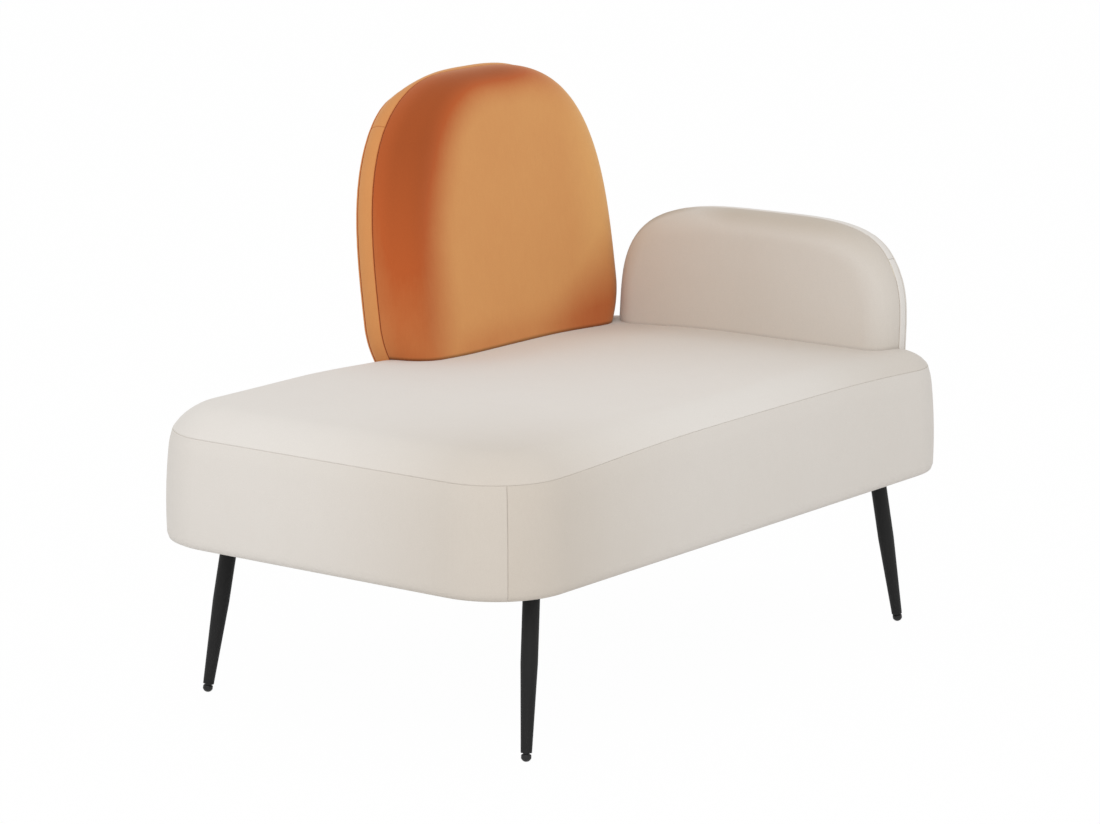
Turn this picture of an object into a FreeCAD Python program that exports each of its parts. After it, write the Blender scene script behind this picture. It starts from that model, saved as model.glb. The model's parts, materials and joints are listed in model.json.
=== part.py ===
import FreeCAD, Part
import math
import os

# An upholstered chaise longue: a padded block on four splayed legs, an arched backrest along
# the rear edge and a lower arched armrest across the right-hand end.
# X runs along the length with the armrest end at +X, the front is -Y, +Z is up.
# All sizes are in millimetres. The pieces are drawn about a point on the floor under the middle of
# the seat block, and at the end all are moved so that the origin lies under the overall middle.

# Seat block, outside of the cover
block_length = 1195.0
block_width = 720.0
plan_corner_radius = 125.0
underside_height = 250.0
seam_height = 421.0
underside_round = 12.0
side_swell = 3.5
seam_draw_in = 8.0
crown_height = 36.0
crown_width = 70.0

# Fabric, wadding and foam
cover_thickness = 1.5
hem_width = 40.0
dust_cover_gap = 0.3
seat_foam_depth = 53.0
felt_thickness = 2.0
strap_thickness = 3.0
strap_width = 50.0
strap_pitch = 125.0
strap_count = 8
strap_end_margin = 45.0

# Timber seat frame
frame_inset = 27.0
rail_thickness = 22.0
block_post_length = 180.0
block_post_width = 115.0
cross_rail_height = 70.0
dowel_diameter = 10.0
dowel_length = 60.0
dowel_spacing = 50.0
dowel_clearance = 0.1
frame_screw_diameter = 5.0
frame_screw_length = 60.0
frame_screw_head = 9.0
frame_screw_spacing = 36.0
frame_screw_clearance = 0.1

# Legs: tapered steel tube on a flat plate
leg_foot_end_inset = 100.5
leg_foot_side_inset = 54.0
leg_splay_x = 40.0
leg_splay_y = 20.0
leg_diameter = 25.4
leg_end_diameter = 16.5
leg_wall = 1.5
leg_straight_share = 0.44
leg_plate_length = 90.0
leg_plate_width = 60.0
leg_plate_thickness = 3.0
leg_screw_diameter = 5.0
leg_screw_length = 28.0
leg_screw_head = 10.0
leg_screw_head_height = 2.4
leg_screw_margin = 8.0
leg_screw_clearance = 0.1

# Levelling glides in the leg ends
glide_diameter = 15.0
glide_height = 11.0
glide_neck_diameter = 10.0
glide_neck_height = 1.8
glide_edge_radius = 2.0
glide_flat = 0.5
glide_running_gap = 0.3
stud_diameter = 8.0
stud_length = 34.0
stud_embedded = 6.0
stud_bore_clearance = 0.05
nut_insert_length = 24.0

# Backrest panel, measured from the seam between its face and its band
back_half_width = 291.0
back_height = 443.0
back_springing = 63.0
back_exponent = 3.0
back_draw_in = 34.0
back_band_depth = 30.0
back_face_crown = 60.0
back_face_round = 57.0
back_rear_crown = 16.0
back_rear_round = 46.0
back_band_swell = 3.8
back_lean = 7.5
back_setback = 59.0
back_end_margin = 85.0

# Armrest panel
arm_half_width = 272.5
arm_height = 201.0
arm_springing = 2.0
arm_exponent = 3.7
arm_draw_in = 22.0
arm_band_depth = 17.0
arm_face_crown = 45.0
arm_face_round = 45.0
arm_rear_crown = 24.0
arm_rear_round = 60.0
arm_band_swell = 1.0
arm_lean = 4.0
arm_setback = 80.0
arm_rear_margin = 101.0

# Both panels
panel_base_rise = 19.0
panel_foot_drop = 26.0
board_thickness = 18.0
board_edge_padding = 22.0
face_curve_exponent = 2.2

# Steel brackets that tie the panels to the frame
bracket_width = 40.0
bracket_thickness = 5.0
bracket_reach_down = 155.0
bracket_reach_up = 120.0
bracket_spacing = 250.0
arm_bracket_spacing = 200.0
bracket_slot_clearance = 0.4
panel_bolt_diameter = 6.0
rail_bolt_diameter = 8.0
rail_bolt_spacing = 44.0
panel_bolt_first = 50.0
panel_bolt_spacing = 45.0
bolt_clearance = 0.3
thread_gap = 0.1
rail_bolt_end_gap = 2.0
panel_bolt_end_gap = 1.0
bolt_head_ratio = 1.7
bolt_head_height = 5.0
tee_nut_flange_thickness = 1.5
tee_nut_flange_ratio = 2.6
tee_nut_barrel_ratio = 1.35
tee_nut_barrel_length = 10.0

V = FreeCAD.Vector
ORIGIN = V(0, 0, 0)
EPS = 1.0

# Heights that follow from the stack of layers
frame_bottom = underside_height + cover_thickness
deck_height = seam_height - seat_foam_depth
strap_bottom = deck_height - felt_thickness - strap_thickness
rail_height = strap_bottom - frame_bottom
frame_half_x = block_length / 2 - frame_inset
frame_half_y = block_width / 2 - frame_inset
post_inner_x = frame_half_x - block_post_length
post_inner_y = frame_half_y - block_post_width
leg_foot_x = block_length / 2 - leg_foot_end_inset
leg_foot_y = block_width / 2 - leg_foot_side_inset
back_centre_x = block_length / 2 - back_end_margin - back_half_width
arm_centre_y = block_width / 2 - arm_rear_margin - arm_half_width


def place(shape, angle=0.0, axis=V(0, 0, 1), move=ORIGIN):
    """A copy of the shape turned about an axis through the origin, then moved."""
    copy = shape.copy()
    copy.rotate(ORIGIN, axis, angle)
    copy.translate(move)
    return copy


def box(low, high):
    """A box from its lowest to its highest corner."""
    size = V(*high) - V(*low)
    return Part.makeBox(size.x, size.y, size.z, V(*low))


def rounded_rectangle(half_x, half_y, radius, z):
    """A closed wire of four lines and four quarter arcs at height z."""
    edges = []
    for quarter in range(4):
        start = math.radians(90 * quarter)
        sx = 1 if quarter in (0, 3) else -1
        sy = 1 if quarter in (0, 1) else -1
        centre = V(sx * (half_x - radius), sy * (half_y - radius), z)
        points = []
        for step in range(3):
            angle = start + math.radians(45 * step)
            points.append(centre + V(radius * math.cos(angle), radius * math.sin(angle), 0))
        if edges:
            edges.append(Part.makeLine(last, points[0]))
        else:
            first = points[0]
        edges.append(Part.Arc(*points).toShape())
        last = points[2]
    edges.append(Part.makeLine(last, first))
    return Part.Wire(edges)


def block_ring(inset, z):
    """The seat block's plan outline, drawn in by inset, at height z."""
    radius = max(plan_corner_radius - inset, 0.2 * plan_corner_radius)
    return rounded_rectangle(block_length / 2 - inset, block_width / 2 - inset, radius, z)


def loft(wires):
    """A ruled solid through the wires, in order."""
    return Part.makeLoft(wires, True, True)


def crown_profile(width, height, exponent, steps):
    """Points (inward, outward) of a quarter superellipse that rises from a seam to a flat face."""
    points = []
    for step in range(steps + 1):
        share = (step / steps) ** 1.6
        rise = (1 - (1 - share) ** exponent) ** (1 / exponent)
        points.append((width * share, height * rise))
    return points


def block_side(skin):
    """The padded side of the block from the underside to the seam, skin below the cover's outside."""
    rings = []
    for angle in (0, 30, 60, 90):
        inward = underside_round * (1 - math.sin(math.radians(angle)))
        rise = underside_round * (1 - math.cos(math.radians(angle)))
        rings.append((inward, underside_height + rise))
    foot = underside_height + underside_round
    for share in (0.25, 0.5, 0.75, 1):
        swell = side_swell * (1 - (2 * share - 1) ** 2)
        rings.append((seam_draw_in * share - swell, foot + (seam_height - foot) * share))
    wires = []
    for inset, z in rings:
        wires.append(block_ring(inset + skin, max(z, underside_height + skin)))
    if skin:
        wires = wires[1:]
        wires[0] = block_ring(rings[0][0] + skin, underside_height + skin)
    return loft(wires)


def block_crown(skin):
    """The crowned top of the block above the seam, skin below the cover's outside."""
    wires = []
    for step in range(8):
        share = step / 7
        rise = (crown_height - skin) * (1 - (1 - share) ** 2)
        wires.append(block_ring(seam_draw_in + crown_width * share + skin, seam_height + rise))
    return loft(wires)


def slab(half_x, half_y, radius, low, high):
    """A flat plate with rounded corners between two heights."""
    wires = [rounded_rectangle(half_x, half_y, radius, z) for z in (low, high)]
    return loft(wires)


class Panel:
    """An arched cushion panel. Local X is across, Z up along the lean and -Y is its face."""

    def __init__(self, half_width, height, springing, exponent, draw_in, band_depth, band_swell,
                 face_crown, face_round, rear_crown, rear_round, lean, turn, base):
        self.half_width = half_width
        self.height = height
        self.springing = springing
        self.exponent = exponent
        self.draw_in = draw_in
        self.band_depth = band_depth
        self.band_swell = band_swell
        self.face_crown = face_crown
        self.face_round = face_round
        self.rear_crown = rear_crown
        self.rear_round = rear_round
        self.lean = lean
        self.turn = turn
        self.base = base

    def arch(self, inset, y):
        """The panel's outline in its own plane: drawn-in sides below a superellipse arch."""
        half = self.half_width - inset
        rise = self.height - inset - self.springing
        foot = -panel_foot_drop
        drop = self.springing - foot

        def side(sign, share):
            return V(sign * (half - self.draw_in * share ** 2), y, self.springing - drop * share)

        def over(angle):
            across = abs(math.cos(angle)) ** (2 / self.exponent)
            up = abs(math.sin(angle)) ** (2 / self.exponent)
            sign = 1 if angle < math.pi / 2 else -1
            return V(sign * half * across, y, self.springing + rise * up)

        edges = [Part.Arc(side(1, 1), side(1, 0.5), side(1, 0)).toShape()]
        stations = [0, 20, 45, 70, 110, 135, 160, 180]
        for start, end in zip(stations, stations[1:]):
            angles = [math.radians(value) for value in (start, (start + end) / 2, end)]
            points = [over(angle) for angle in angles]
            if start == 0:
                points[0] = side(1, 0)
            if end == 180:
                points[2] = side(-1, 0)
            edges.append(Part.Arc(*points).toShape())
        edges.append(Part.Arc(side(-1, 0), side(-1, 0.5), side(-1, 1)).toShape())
        edges.append(Part.makeLine(side(-1, 1), side(1, 1)))
        return Part.Wire(edges)

    def face(self, skin):
        """The crowned front, from the seam plane forwards."""
        wires = []
        profile = crown_profile(self.face_round, self.face_crown - skin, face_curve_exponent, 5)
        for inward, out in profile:
            wires.append(self.arch(inward + skin, -out))
        return loft(wires)

    def band(self, skin):
        """The strip round the edge, from the face seam to the rear seam, slightly swollen."""
        wires = []
        for share in (0, 0.25, 0.5, 0.75, 1):
            swell = self.band_swell * (1 - (2 * share - 1) ** 2)
            wires.append(self.arch(skin - swell, self.band_depth * share))
        return loft(wires)

    def rear(self, skin):
        """The shallow crowned rear, from the rear seam backwards."""
        wires = []
        profile = crown_profile(self.rear_round, self.rear_crown - skin, 2.0, 4)
        for inward, out in profile:
            wires.append(self.arch(inward + skin, self.band_depth + out))
        return loft(wires)

    def inside(self):
        """The space that the covers enclose."""
        return self.face(cover_thickness).fuse(self.band(cover_thickness)).fuse(self.rear(cover_thickness))

    def board(self, front):
        """The plywood board inside the panel, its front face at local Y = front."""
        wires = [self.arch(board_edge_padding, front), self.arch(board_edge_padding, front + board_thickness)]
        return loft(wires)

    def to_world(self, shape):
        """The shape leaned back, turned about Z and set on its base point."""
        leaned = place(shape, -self.lean, V(1, 0, 0))
        return place(leaned, self.turn, V(0, 0, 1), self.base)


def cylinder(radius, length, start, direction):
    """A cylinder of the given radius and length along a direction."""
    return Part.makeCylinder(radius, length, start, direction)


def bolt(diameter, length, start, direction, clearance=0.0):
    """A cap bolt: round head outside start, shank from start along direction."""
    unit = V(direction)
    unit.normalize()
    head = cylinder(diameter * bolt_head_ratio / 2 + clearance, bolt_head_height + clearance,
                    start - unit * (bolt_head_height + clearance), unit)
    shank = cylinder(diameter / 2 + clearance, length + clearance, start, unit)
    return head.fuse(shank).removeSplitter()


def tee_nut(diameter, barrel, face, direction, clearance=0.0):
    """A flanged nut: the flange lies outside face and the barrel points along direction.

    With a clearance it is the solid pocket that takes the nut.
    """
    unit = V(direction)
    unit.normalize()
    flange = cylinder(diameter * tee_nut_flange_ratio / 2 + clearance, tee_nut_flange_thickness + clearance,
                      face - unit * (tee_nut_flange_thickness + clearance), unit)
    sleeve = cylinder(diameter * tee_nut_barrel_ratio / 2 + clearance, barrel + clearance, face, unit)
    nut = flange.fuse(sleeve).removeSplitter()
    if clearance:
        return nut
    bore = cylinder(diameter / 2 + thread_gap, barrel + 2 * tee_nut_flange_thickness,
                    face - unit * 1.5 * tee_nut_flange_thickness, unit)
    return nut.cut(bore)


def compound(shapes):
    """Separate solids of one node."""
    return Part.makeCompound(shapes)


def cut_all(shape, tools):
    """The shape less every tool that reaches it."""
    near = [tool for tool in tools if shape.BoundBox.intersect(tool.BoundBox)]
    if not near:
        return shape
    return shape.cut(near)


# Timber frame of the seat block

def corner_post(sx, sy):
    """A solid timber corner whose outer edge follows the plan's rounded corner."""
    outline = slab(frame_half_x, frame_half_y, plan_corner_radius - frame_inset, frame_bottom, strap_bottom)
    x = sorted((sx * post_inner_x, sx * (frame_half_x + EPS)))
    y = sorted((sy * post_inner_y, sy * (frame_half_y + EPS)))
    return outline.common(box((x[0], y[0], frame_bottom), (x[1], y[1], strap_bottom)))


def long_rail(side):
    """Front (-1) or rear (+1) rail between two corner posts."""
    y = sorted((side * frame_half_y, side * (frame_half_y - rail_thickness)))
    return box((-post_inner_x, y[0], frame_bottom), (post_inner_x, y[1], strap_bottom))


def end_rail(side):
    """Left (-1) or right (+1) rail between two corner posts."""
    x = sorted((side * frame_half_x, side * (frame_half_x - rail_thickness)))
    return box((x[0], -post_inner_y, frame_bottom), (x[1], post_inner_y, strap_bottom))


def cross_rail(side):
    """One of the two rails across the middle, the right one midway between the back's brackets."""
    x = side * back_centre_x
    reach = frame_half_y - rail_thickness
    top = strap_bottom - (rail_height - cross_rail_height) / 2
    low = (x - rail_thickness / 2, -reach, top - cross_rail_height)
    return box(low, (x + rail_thickness / 2, reach, top))


def dowel_places():
    """Centre and direction of each dowel between a rail and a corner post."""
    middle = frame_bottom + rail_height / 2
    places = []
    for sx in (-1, 1):
        for sy in (-1, 1):
            for dz in (-dowel_spacing / 2, dowel_spacing / 2):
                long_joint = V(sx * post_inner_x, sy * (frame_half_y - rail_thickness / 2), middle + dz)
                end_joint = V(sx * (frame_half_x - rail_thickness / 2), sy * post_inner_y, middle + dz)
                places.append((long_joint, V(1, 0, 0)))
                places.append((end_joint, V(0, 1, 0)))
    return places


def dowels(clearance=0.0):
    """The dowels, or the holes for them when a clearance is given."""
    pieces = []
    for centre, direction in dowel_places():
        start = centre - direction * (dowel_length / 2 + clearance)
        pieces.append(cylinder(dowel_diameter / 2 + clearance, dowel_length + 2 * clearance, start, direction))
    return pieces


def frame_screws(clearance=0.0):
    """Screws through the long rails into the ends of the cross rails."""
    middle = frame_bottom + rail_height / 2
    pieces = []
    for sx in (-1, 1):
        for sy in (-1, 1):
            for dz in (-frame_screw_spacing / 2, frame_screw_spacing / 2):
                inward = V(0, -sy, 0)
                start = V(sx * back_centre_x, sy * frame_half_y, middle + dz)
                shank = cylinder(frame_screw_diameter / 2 + clearance, frame_screw_length + clearance, start, inward)
                depth = frame_screw_head / 2
                head = Part.makeCone(frame_screw_head / 2 + clearance, frame_screw_diameter / 2 + clearance,
                                     depth, start, inward)
                pieces.append(shank.fuse(head).removeSplitter())
    return pieces


# Webbing, felt and dust cover

def strap_centres():
    """X of each webbing strap, spaced so that the backrest brackets pass between two straps."""
    first = back_centre_x + 1.5 * strap_pitch
    centres = [first - strap_pitch * index for index in range(strap_count)]
    limit = frame_half_x - strap_end_margin
    return [x for x in centres if abs(x) < limit]


def webbing():
    """Elastic straps stretched across the frame and trimmed to its outline."""
    top = strap_bottom + strap_thickness
    outline = slab(frame_half_x, frame_half_y, plan_corner_radius - frame_inset, strap_bottom, top)
    straps = []
    for x in strap_centres():
        low = (x - strap_width / 2, -frame_half_y, strap_bottom)
        straps.append(outline.common(box(low, (x + strap_width / 2, frame_half_y, top))))
    return straps


def felt():
    """A sheet between the straps and the foam."""
    bottom = strap_bottom + strap_thickness
    return slab(frame_half_x, frame_half_y, plan_corner_radius - frame_inset, bottom, deck_height)


def hem_inset():
    """How far in the edge of the folded-under cover lies."""
    return underside_round + hem_width


def dust_cover():
    """Thin cloth closing the underside within the hem."""
    inset = hem_inset() + dust_cover_gap
    radius = max(plan_corner_radius - inset, 0.2 * plan_corner_radius)
    return slab(block_length / 2 - inset, block_width / 2 - inset, radius, underside_height, frame_bottom)


# Legs and glides

def leg_top(sx, sy):
    """Where the leg's axis meets the underside of the block."""
    return V(sx * (leg_foot_x - leg_splay_x), sy * (leg_foot_y - leg_splay_y), underside_height)


def leg_axis(sx, sy):
    """Point on the floor and unit vector down the leg for the leg at sx, sy."""
    foot = V(sx * leg_foot_x, sy * leg_foot_y, 0)
    down = foot - leg_top(sx, sy)
    down.normalize()
    return foot, down


def neck_top():
    """Distance up the leg's axis from the floor to the top of the glide's neck."""
    return glide_height + glide_neck_height - glide_flat


def tube_end():
    """Distance up the leg's axis from the floor to the lower end of the tube."""
    return neck_top() + glide_running_gap


def taper_start():
    """Distance up the leg's axis from the floor to the top of the taper."""
    foot, down = leg_axis(1, 1)
    return (1 - leg_straight_share) * underside_height / abs(down.z)


def leg_profile(skin):
    """Outline of the tapered tube as radius and distance from the floor, skin below its outside."""
    foot, down = leg_axis(1, 1)
    beyond = (underside_height + leg_diameter / 4) / abs(down.z)
    return [
        (leg_end_diameter / 2 - skin, tube_end()),
        (leg_diameter / 2 - skin, taper_start()),
        (leg_diameter / 2 - skin, beyond),
    ]


def spun(profile, foot, down):
    """A solid of revolution about the leg axis from points (radius, distance up from the floor)."""
    pieces = []
    for (radius_a, low), (radius_b, high) in zip(profile, profile[1:]):
        start = foot - down * low
        if abs(radius_a - radius_b) < 1e-6:
            pieces.append(cylinder(radius_a, high - low, start, down * -1))
        else:
            pieces.append(Part.makeCone(radius_a, radius_b, high - low, start, down * -1))
    solid = pieces[0]
    for piece in pieces[1:]:
        solid = solid.fuse(piece)
    return solid.removeSplitter()


def leg_plate(sx, sy):
    """The flat plate welded to the top of a leg."""
    plate = slab(leg_plate_length / 2, leg_plate_width / 2, leg_screw_margin, -leg_plate_thickness, 0)
    return place(plate, move=leg_top(sx, sy))


def leg(sx, sy):
    """A hollow tapered tube welded to its plate, without the screw holes."""
    foot, down = leg_axis(sx, sy)
    plate_bottom = underside_height - leg_plate_thickness
    reach = leg_diameter * 2
    top = leg_top(sx, sy)
    above = box((top.x - reach, top.y - reach, plate_bottom), (top.x + reach, top.y + reach, plate_bottom + reach))
    tube = spun(leg_profile(0), foot, down).cut(above)
    tube = tube.cut(spun(leg_profile(leg_wall), foot, down))
    return tube.fuse(leg_plate(sx, sy)).removeSplitter()


def leg_screws(sx, sy, clearance=0.0):
    """Round-head screws from below through one leg plate, or their holes with a clearance."""
    up = V(0, 0, 1)
    dx = leg_plate_length / 2 - leg_screw_margin
    dy = leg_plate_width / 2 - leg_screw_margin
    pieces = []
    for ax in (-1, 1):
        for ay in (-1, 1):
            start = leg_top(sx, sy) + V(ax * dx, ay * dy, -leg_plate_thickness)
            pieces.append(cylinder(leg_screw_diameter / 2 + clearance, leg_screw_length + clearance, start, up))
            if not clearance:
                head = cylinder(leg_screw_head / 2, leg_screw_head_height, start - up * leg_screw_head_height, up)
                pieces[-1] = pieces[-1].fuse(head).removeSplitter()
    return pieces


def inner_radius(distance):
    """Inner radius of the tapered part of the tube at a distance from the floor along its axis."""
    share = (distance - tube_end()) / (taper_start() - tube_end())
    return leg_end_diameter / 2 - leg_wall + share * (leg_diameter - leg_end_diameter) / 2


def nut_insert(sx, sy):
    """The threaded plug pressed into a leg end, with a running bore for the stud."""
    foot, down = leg_axis(sx, sy)
    top = tube_end() + nut_insert_length
    body = spun([(inner_radius(tube_end()), tube_end()), (inner_radius(top), top)], foot, down)
    bore = cylinder(stud_diameter / 2 + stud_bore_clearance, nut_insert_length + 2 * EPS,
                    foot - down * (tube_end() - EPS), down * -1)
    return body.cut(bore)


def glide_foot(sx, sy):
    """A domed plastic foot with a short neck, flat where it stands on the floor."""
    foot, down = leg_axis(sx, sy)
    up = down * -1
    base = foot + down * glide_flat
    radius = glide_diameter / 2
    dome_rise = glide_height / 2
    dome_radius = (radius ** 2 + dome_rise ** 2) / (2 * dome_rise)
    body = cylinder(radius, glide_height, base, up)
    dome = Part.makeSphere(dome_radius, base + up * dome_radius)
    shoulder = cylinder(radius, glide_height, base + up * dome_rise, up)
    body = body.common(dome.fuse(shoulder)).removeSplitter()
    rim = [edge for edge in body.Edges
           if edge.BoundBox.ZMin > dome_rise and edge.Length > math.pi * radius]
    body = body.makeFillet(glide_edge_radius, rim)
    neck = cylinder(glide_neck_diameter / 2, glide_neck_height, base + up * glide_height, up)
    body = body.fuse(neck).removeSplitter()
    floor = box((foot.x - radius, foot.y - radius, -radius), (foot.x + radius, foot.y + radius, 0))
    return body.cut(floor).cut(glide_stud(sx, sy))


def glide_stud(sx, sy):
    """The threaded stud moulded into a glide, drawn at its outer diameter."""
    foot, down = leg_axis(sx, sy)
    start = foot - down * (neck_top() - stud_embedded)
    return cylinder(stud_diameter / 2, stud_length, start, down * -1)


# Panels

back_panel = Panel(back_half_width, back_height, back_springing, back_exponent, back_draw_in,
                   back_band_depth, back_band_swell, back_face_crown, back_face_round,
                   back_rear_crown, back_rear_round, back_lean, 0,
                   V(back_centre_x, block_width / 2 - back_setback, seam_height + panel_base_rise))
arm_panel = Panel(arm_half_width, arm_height, arm_springing, arm_exponent, arm_draw_in,
                  arm_band_depth, arm_band_swell, arm_face_crown, arm_face_round,
                  arm_rear_crown, arm_rear_round, arm_lean, -90,
                  V(block_length / 2 - arm_setback, arm_centre_y, seam_height + panel_base_rise))


class Mounting:
    """The brackets, bolts and nuts that tie one panel to one rail.

    Everything is drawn with the rail's inner face at local Y = 0 and the bend at Z = 0, then
    turned about Z and moved. The lower leg lies on the rail. The upper leg lies in front of the
    board, or behind it where the panel is too thin for a board behind the bend.
    """

    def __init__(self, panel, bend, spacing, behind):
        self.panel = panel
        self.bend = bend
        self.spacing = spacing
        self.behind = behind

    def to_world(self, shape):
        """The shape turned like the panel and set on the bend line."""
        return place(shape, self.panel.turn, V(0, 0, 1), self.bend)

    def board_front(self):
        """Local Y of the board's front face within the panel."""
        if self.panel.turn:
            behind_seam = self.bend.x - self.panel.base.x
        else:
            behind_seam = self.bend.y - self.panel.base.y
        if self.behind:
            behind_seam -= bracket_thickness
        lean = math.radians(self.panel.lean)
        depth = behind_seam * math.cos(lean) - (self.bend.z - self.panel.base.z) * math.sin(lean)
        if self.behind:
            return depth - board_thickness
        return depth

    def middles(self):
        """Local X of the middle of each bracket."""
        return [-self.spacing / 2, self.spacing / 2]

    def bar(self, middle, grow=0.0):
        """One flat bar with its bend, or its slot when grow is given."""
        slope = math.tan(math.radians(self.panel.lean))
        near = -bracket_thickness - grow
        low = -bracket_reach_down - grow
        high = bracket_reach_up + grow
        outline = [V(0, near, low), V(0, grow, low), V(0, grow, 0), V(0, high * slope + grow, high),
                   V(0, high * slope + near, high), V(0, near, 0)]
        outline.append(outline[0])
        side = Part.Face(Part.makePolygon(outline))
        bar = side.extrude(V(bracket_width + 2 * grow, 0, 0))
        return place(bar, move=V(middle - bracket_width / 2 - grow, 0, 0))

    def along(self, reach):
        """The point on the upper leg's rear face at a distance above the bend."""
        lean = math.radians(self.panel.lean)
        return V(0, reach * math.sin(lean), reach * math.cos(lean))

    def normal(self):
        """Unit vector backwards, square to the upper leg."""
        lean = math.radians(self.panel.lean)
        return V(0, math.cos(lean), -math.sin(lean))

    def panel_bolts(self, clearance=0.0):
        """Bolts through the upper legs and the board."""
        pieces = []
        leg = bracket_thickness * math.cos(math.radians(self.panel.lean))
        length = leg + board_thickness - panel_bolt_end_gap
        for middle in self.middles():
            for index in range(2):
                point = self.along(panel_bolt_first + index * panel_bolt_spacing) + V(middle, 0, 0)
                if self.behind:
                    pieces.append(bolt(panel_bolt_diameter, length, point, self.normal() * -1, clearance))
                else:
                    start = point - self.normal() * leg
                    pieces.append(bolt(panel_bolt_diameter, length, start, self.normal(), clearance))
        return pieces

    def panel_nuts(self, clearance=0.0):
        """Flanged nuts on the far face of the board."""
        pieces = []
        leg = bracket_thickness * math.cos(math.radians(self.panel.lean))
        for middle in self.middles():
            for index in range(2):
                point = self.along(panel_bolt_first + index * panel_bolt_spacing) + V(middle, 0, 0)
                if self.behind:
                    face = point - self.normal() * (leg + board_thickness)
                    direction = self.normal()
                else:
                    face = point + self.normal() * board_thickness
                    direction = self.normal() * -1
                pieces.append(tee_nut(panel_bolt_diameter, tee_nut_barrel_length, face, direction, clearance))
        return pieces

    def rail_heights(self):
        """Height of each rail bolt, relative to the bend."""
        middle = frame_bottom + rail_height / 2 - self.bend.z
        return [middle - rail_bolt_spacing / 2, middle + rail_bolt_spacing / 2]

    def rail_bolts(self, clearance=0.0):
        """Bolts through the lower legs and the rail."""
        length = bracket_thickness + rail_thickness - rail_bolt_end_gap
        pieces = []
        for middle in self.middles():
            for height in self.rail_heights():
                start = V(middle, -bracket_thickness, height)
                pieces.append(bolt(rail_bolt_diameter, length, start, V(0, 1, 0), clearance))
        return pieces

    def rail_nuts(self, clearance=0.0):
        """Flanged nuts let in flush with the outer face of the rail."""
        pieces = []
        for middle in self.middles():
            for height in self.rail_heights():
                face = V(middle, rail_thickness - tee_nut_flange_thickness, height)
                pieces.append(tee_nut(rail_bolt_diameter, tee_nut_barrel_length, face, V(0, -1, 0), clearance))
        return pieces

    def bars(self):
        """Both brackets with their bolt holes."""
        holes = self.panel_bolts(bolt_clearance) + self.rail_bolts(bolt_clearance)
        return [cut_all(self.bar(middle), holes) for middle in self.middles()]

    def slots(self):
        """The spaces that the brackets need in what they pass through."""
        return [self.to_world(self.bar(middle, bracket_slot_clearance)) for middle in self.middles()]

    def panel_pockets(self):
        """The spaces that the bolts and nuts of the upper legs need."""
        shapes = self.panel_bolts(bolt_clearance) + self.panel_nuts(bolt_clearance)
        return [self.to_world(shape) for shape in shapes]

    def rail_pockets(self):
        """The spaces that the bolts and nuts of the lower legs need."""
        shapes = self.rail_bolts(bolt_clearance) + self.rail_nuts(bolt_clearance)
        return [self.to_world(shape) for shape in shapes]

    def nodes(self, prefix):
        """Brackets, bolts and nuts as named groups in world place."""
        groups = {
            "brackets": self.bars(),
            "board_bolts": self.panel_bolts(),
            "board_nuts": self.panel_nuts(),
            "rail_bolts": self.rail_bolts(),
            "rail_nuts": self.rail_nuts(),
        }
        named = {}
        for name, shapes in groups.items():
            named[prefix + "_" + name] = compound([self.to_world(shape) for shape in shapes])
        return named


back_mounting = Mounting(back_panel, V(back_centre_x, frame_half_y - rail_thickness, seam_height),
                         bracket_spacing, False)
arm_mounting = Mounting(arm_panel, V(frame_half_x - rail_thickness, arm_centre_y, seam_height),
                        arm_bracket_spacing, True)


# Sub-assemblies, each a dictionary of named nodes

SIDES = {"left": -1, "right": 1}
DEPTHS = {"front": -1, "rear": 1}


def corners():
    """Name and signs of each corner of the block."""
    return [(dy + "_" + dx, SIDES[dx], DEPTHS[dy]) for dy in DEPTHS for dx in SIDES]


def seat_nodes(seat_slots):
    """Covers, foam, felt, webbing and dust cover of the seat block."""
    inner_side = block_side(cover_thickness)
    opening_inset = hem_inset()
    opening_radius = max(plan_corner_radius - opening_inset, 0.2 * plan_corner_radius)
    opening = slab(block_length / 2 - opening_inset, block_width / 2 - opening_inset, opening_radius,
                   underside_height - EPS, frame_bottom + EPS)
    foam_space = box((-block_length, -block_width, deck_height), (block_length, block_width, seam_height))
    pad_space = box((-block_length, -block_width, frame_bottom), (block_length, block_width, deck_height))
    core = slab(frame_half_x, frame_half_y, plan_corner_radius - frame_inset, frame_bottom - EPS, deck_height + EPS)
    foam = inner_side.common(foam_space).fuse(block_crown(cover_thickness)).removeSplitter()
    screw_holes = []
    for name, sx, sy in corners():
        screw_holes += leg_screws(sx, sy, leg_screw_clearance)
    return {
        "seat_cover_top": cut_all(block_crown(0).cut(block_crown(cover_thickness)), seat_slots),
        "seat_cover_band": cut_all(block_side(0).cut(inner_side).cut(opening), screw_holes),
        "seat_foam": cut_all(foam, seat_slots),
        "seat_side_foam": inner_side.common(pad_space).cut(core),
        "seat_felt": cut_all(felt(), seat_slots),
        "seat_webbing": compound(webbing()),
        "seat_dust_cover": cut_all(dust_cover(), screw_holes),
    }


def frame_nodes(rail_pockets):
    """Rails, corner posts, dowels and screws of the timber frame."""
    holes = dowels(dowel_clearance) + rail_pockets
    screw_holes = frame_screws(frame_screw_clearance)
    nodes = {}
    for name, side in DEPTHS.items():
        nodes["frame_" + name + "_rail"] = cut_all(long_rail(side), holes + screw_holes)
    for name, side in SIDES.items():
        nodes["frame_" + name + "_rail"] = cut_all(end_rail(side), holes)
        nodes["frame_cross_rail_" + name] = cut_all(cross_rail(side), screw_holes)
    for name, sx, sy in corners():
        nodes["frame_post_" + name] = cut_all(corner_post(sx, sy), holes + leg_screws(sx, sy, leg_screw_clearance))
    nodes["frame_dowels"] = compound(dowels())
    nodes["frame_screws"] = compound(frame_screws())
    return nodes


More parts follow.
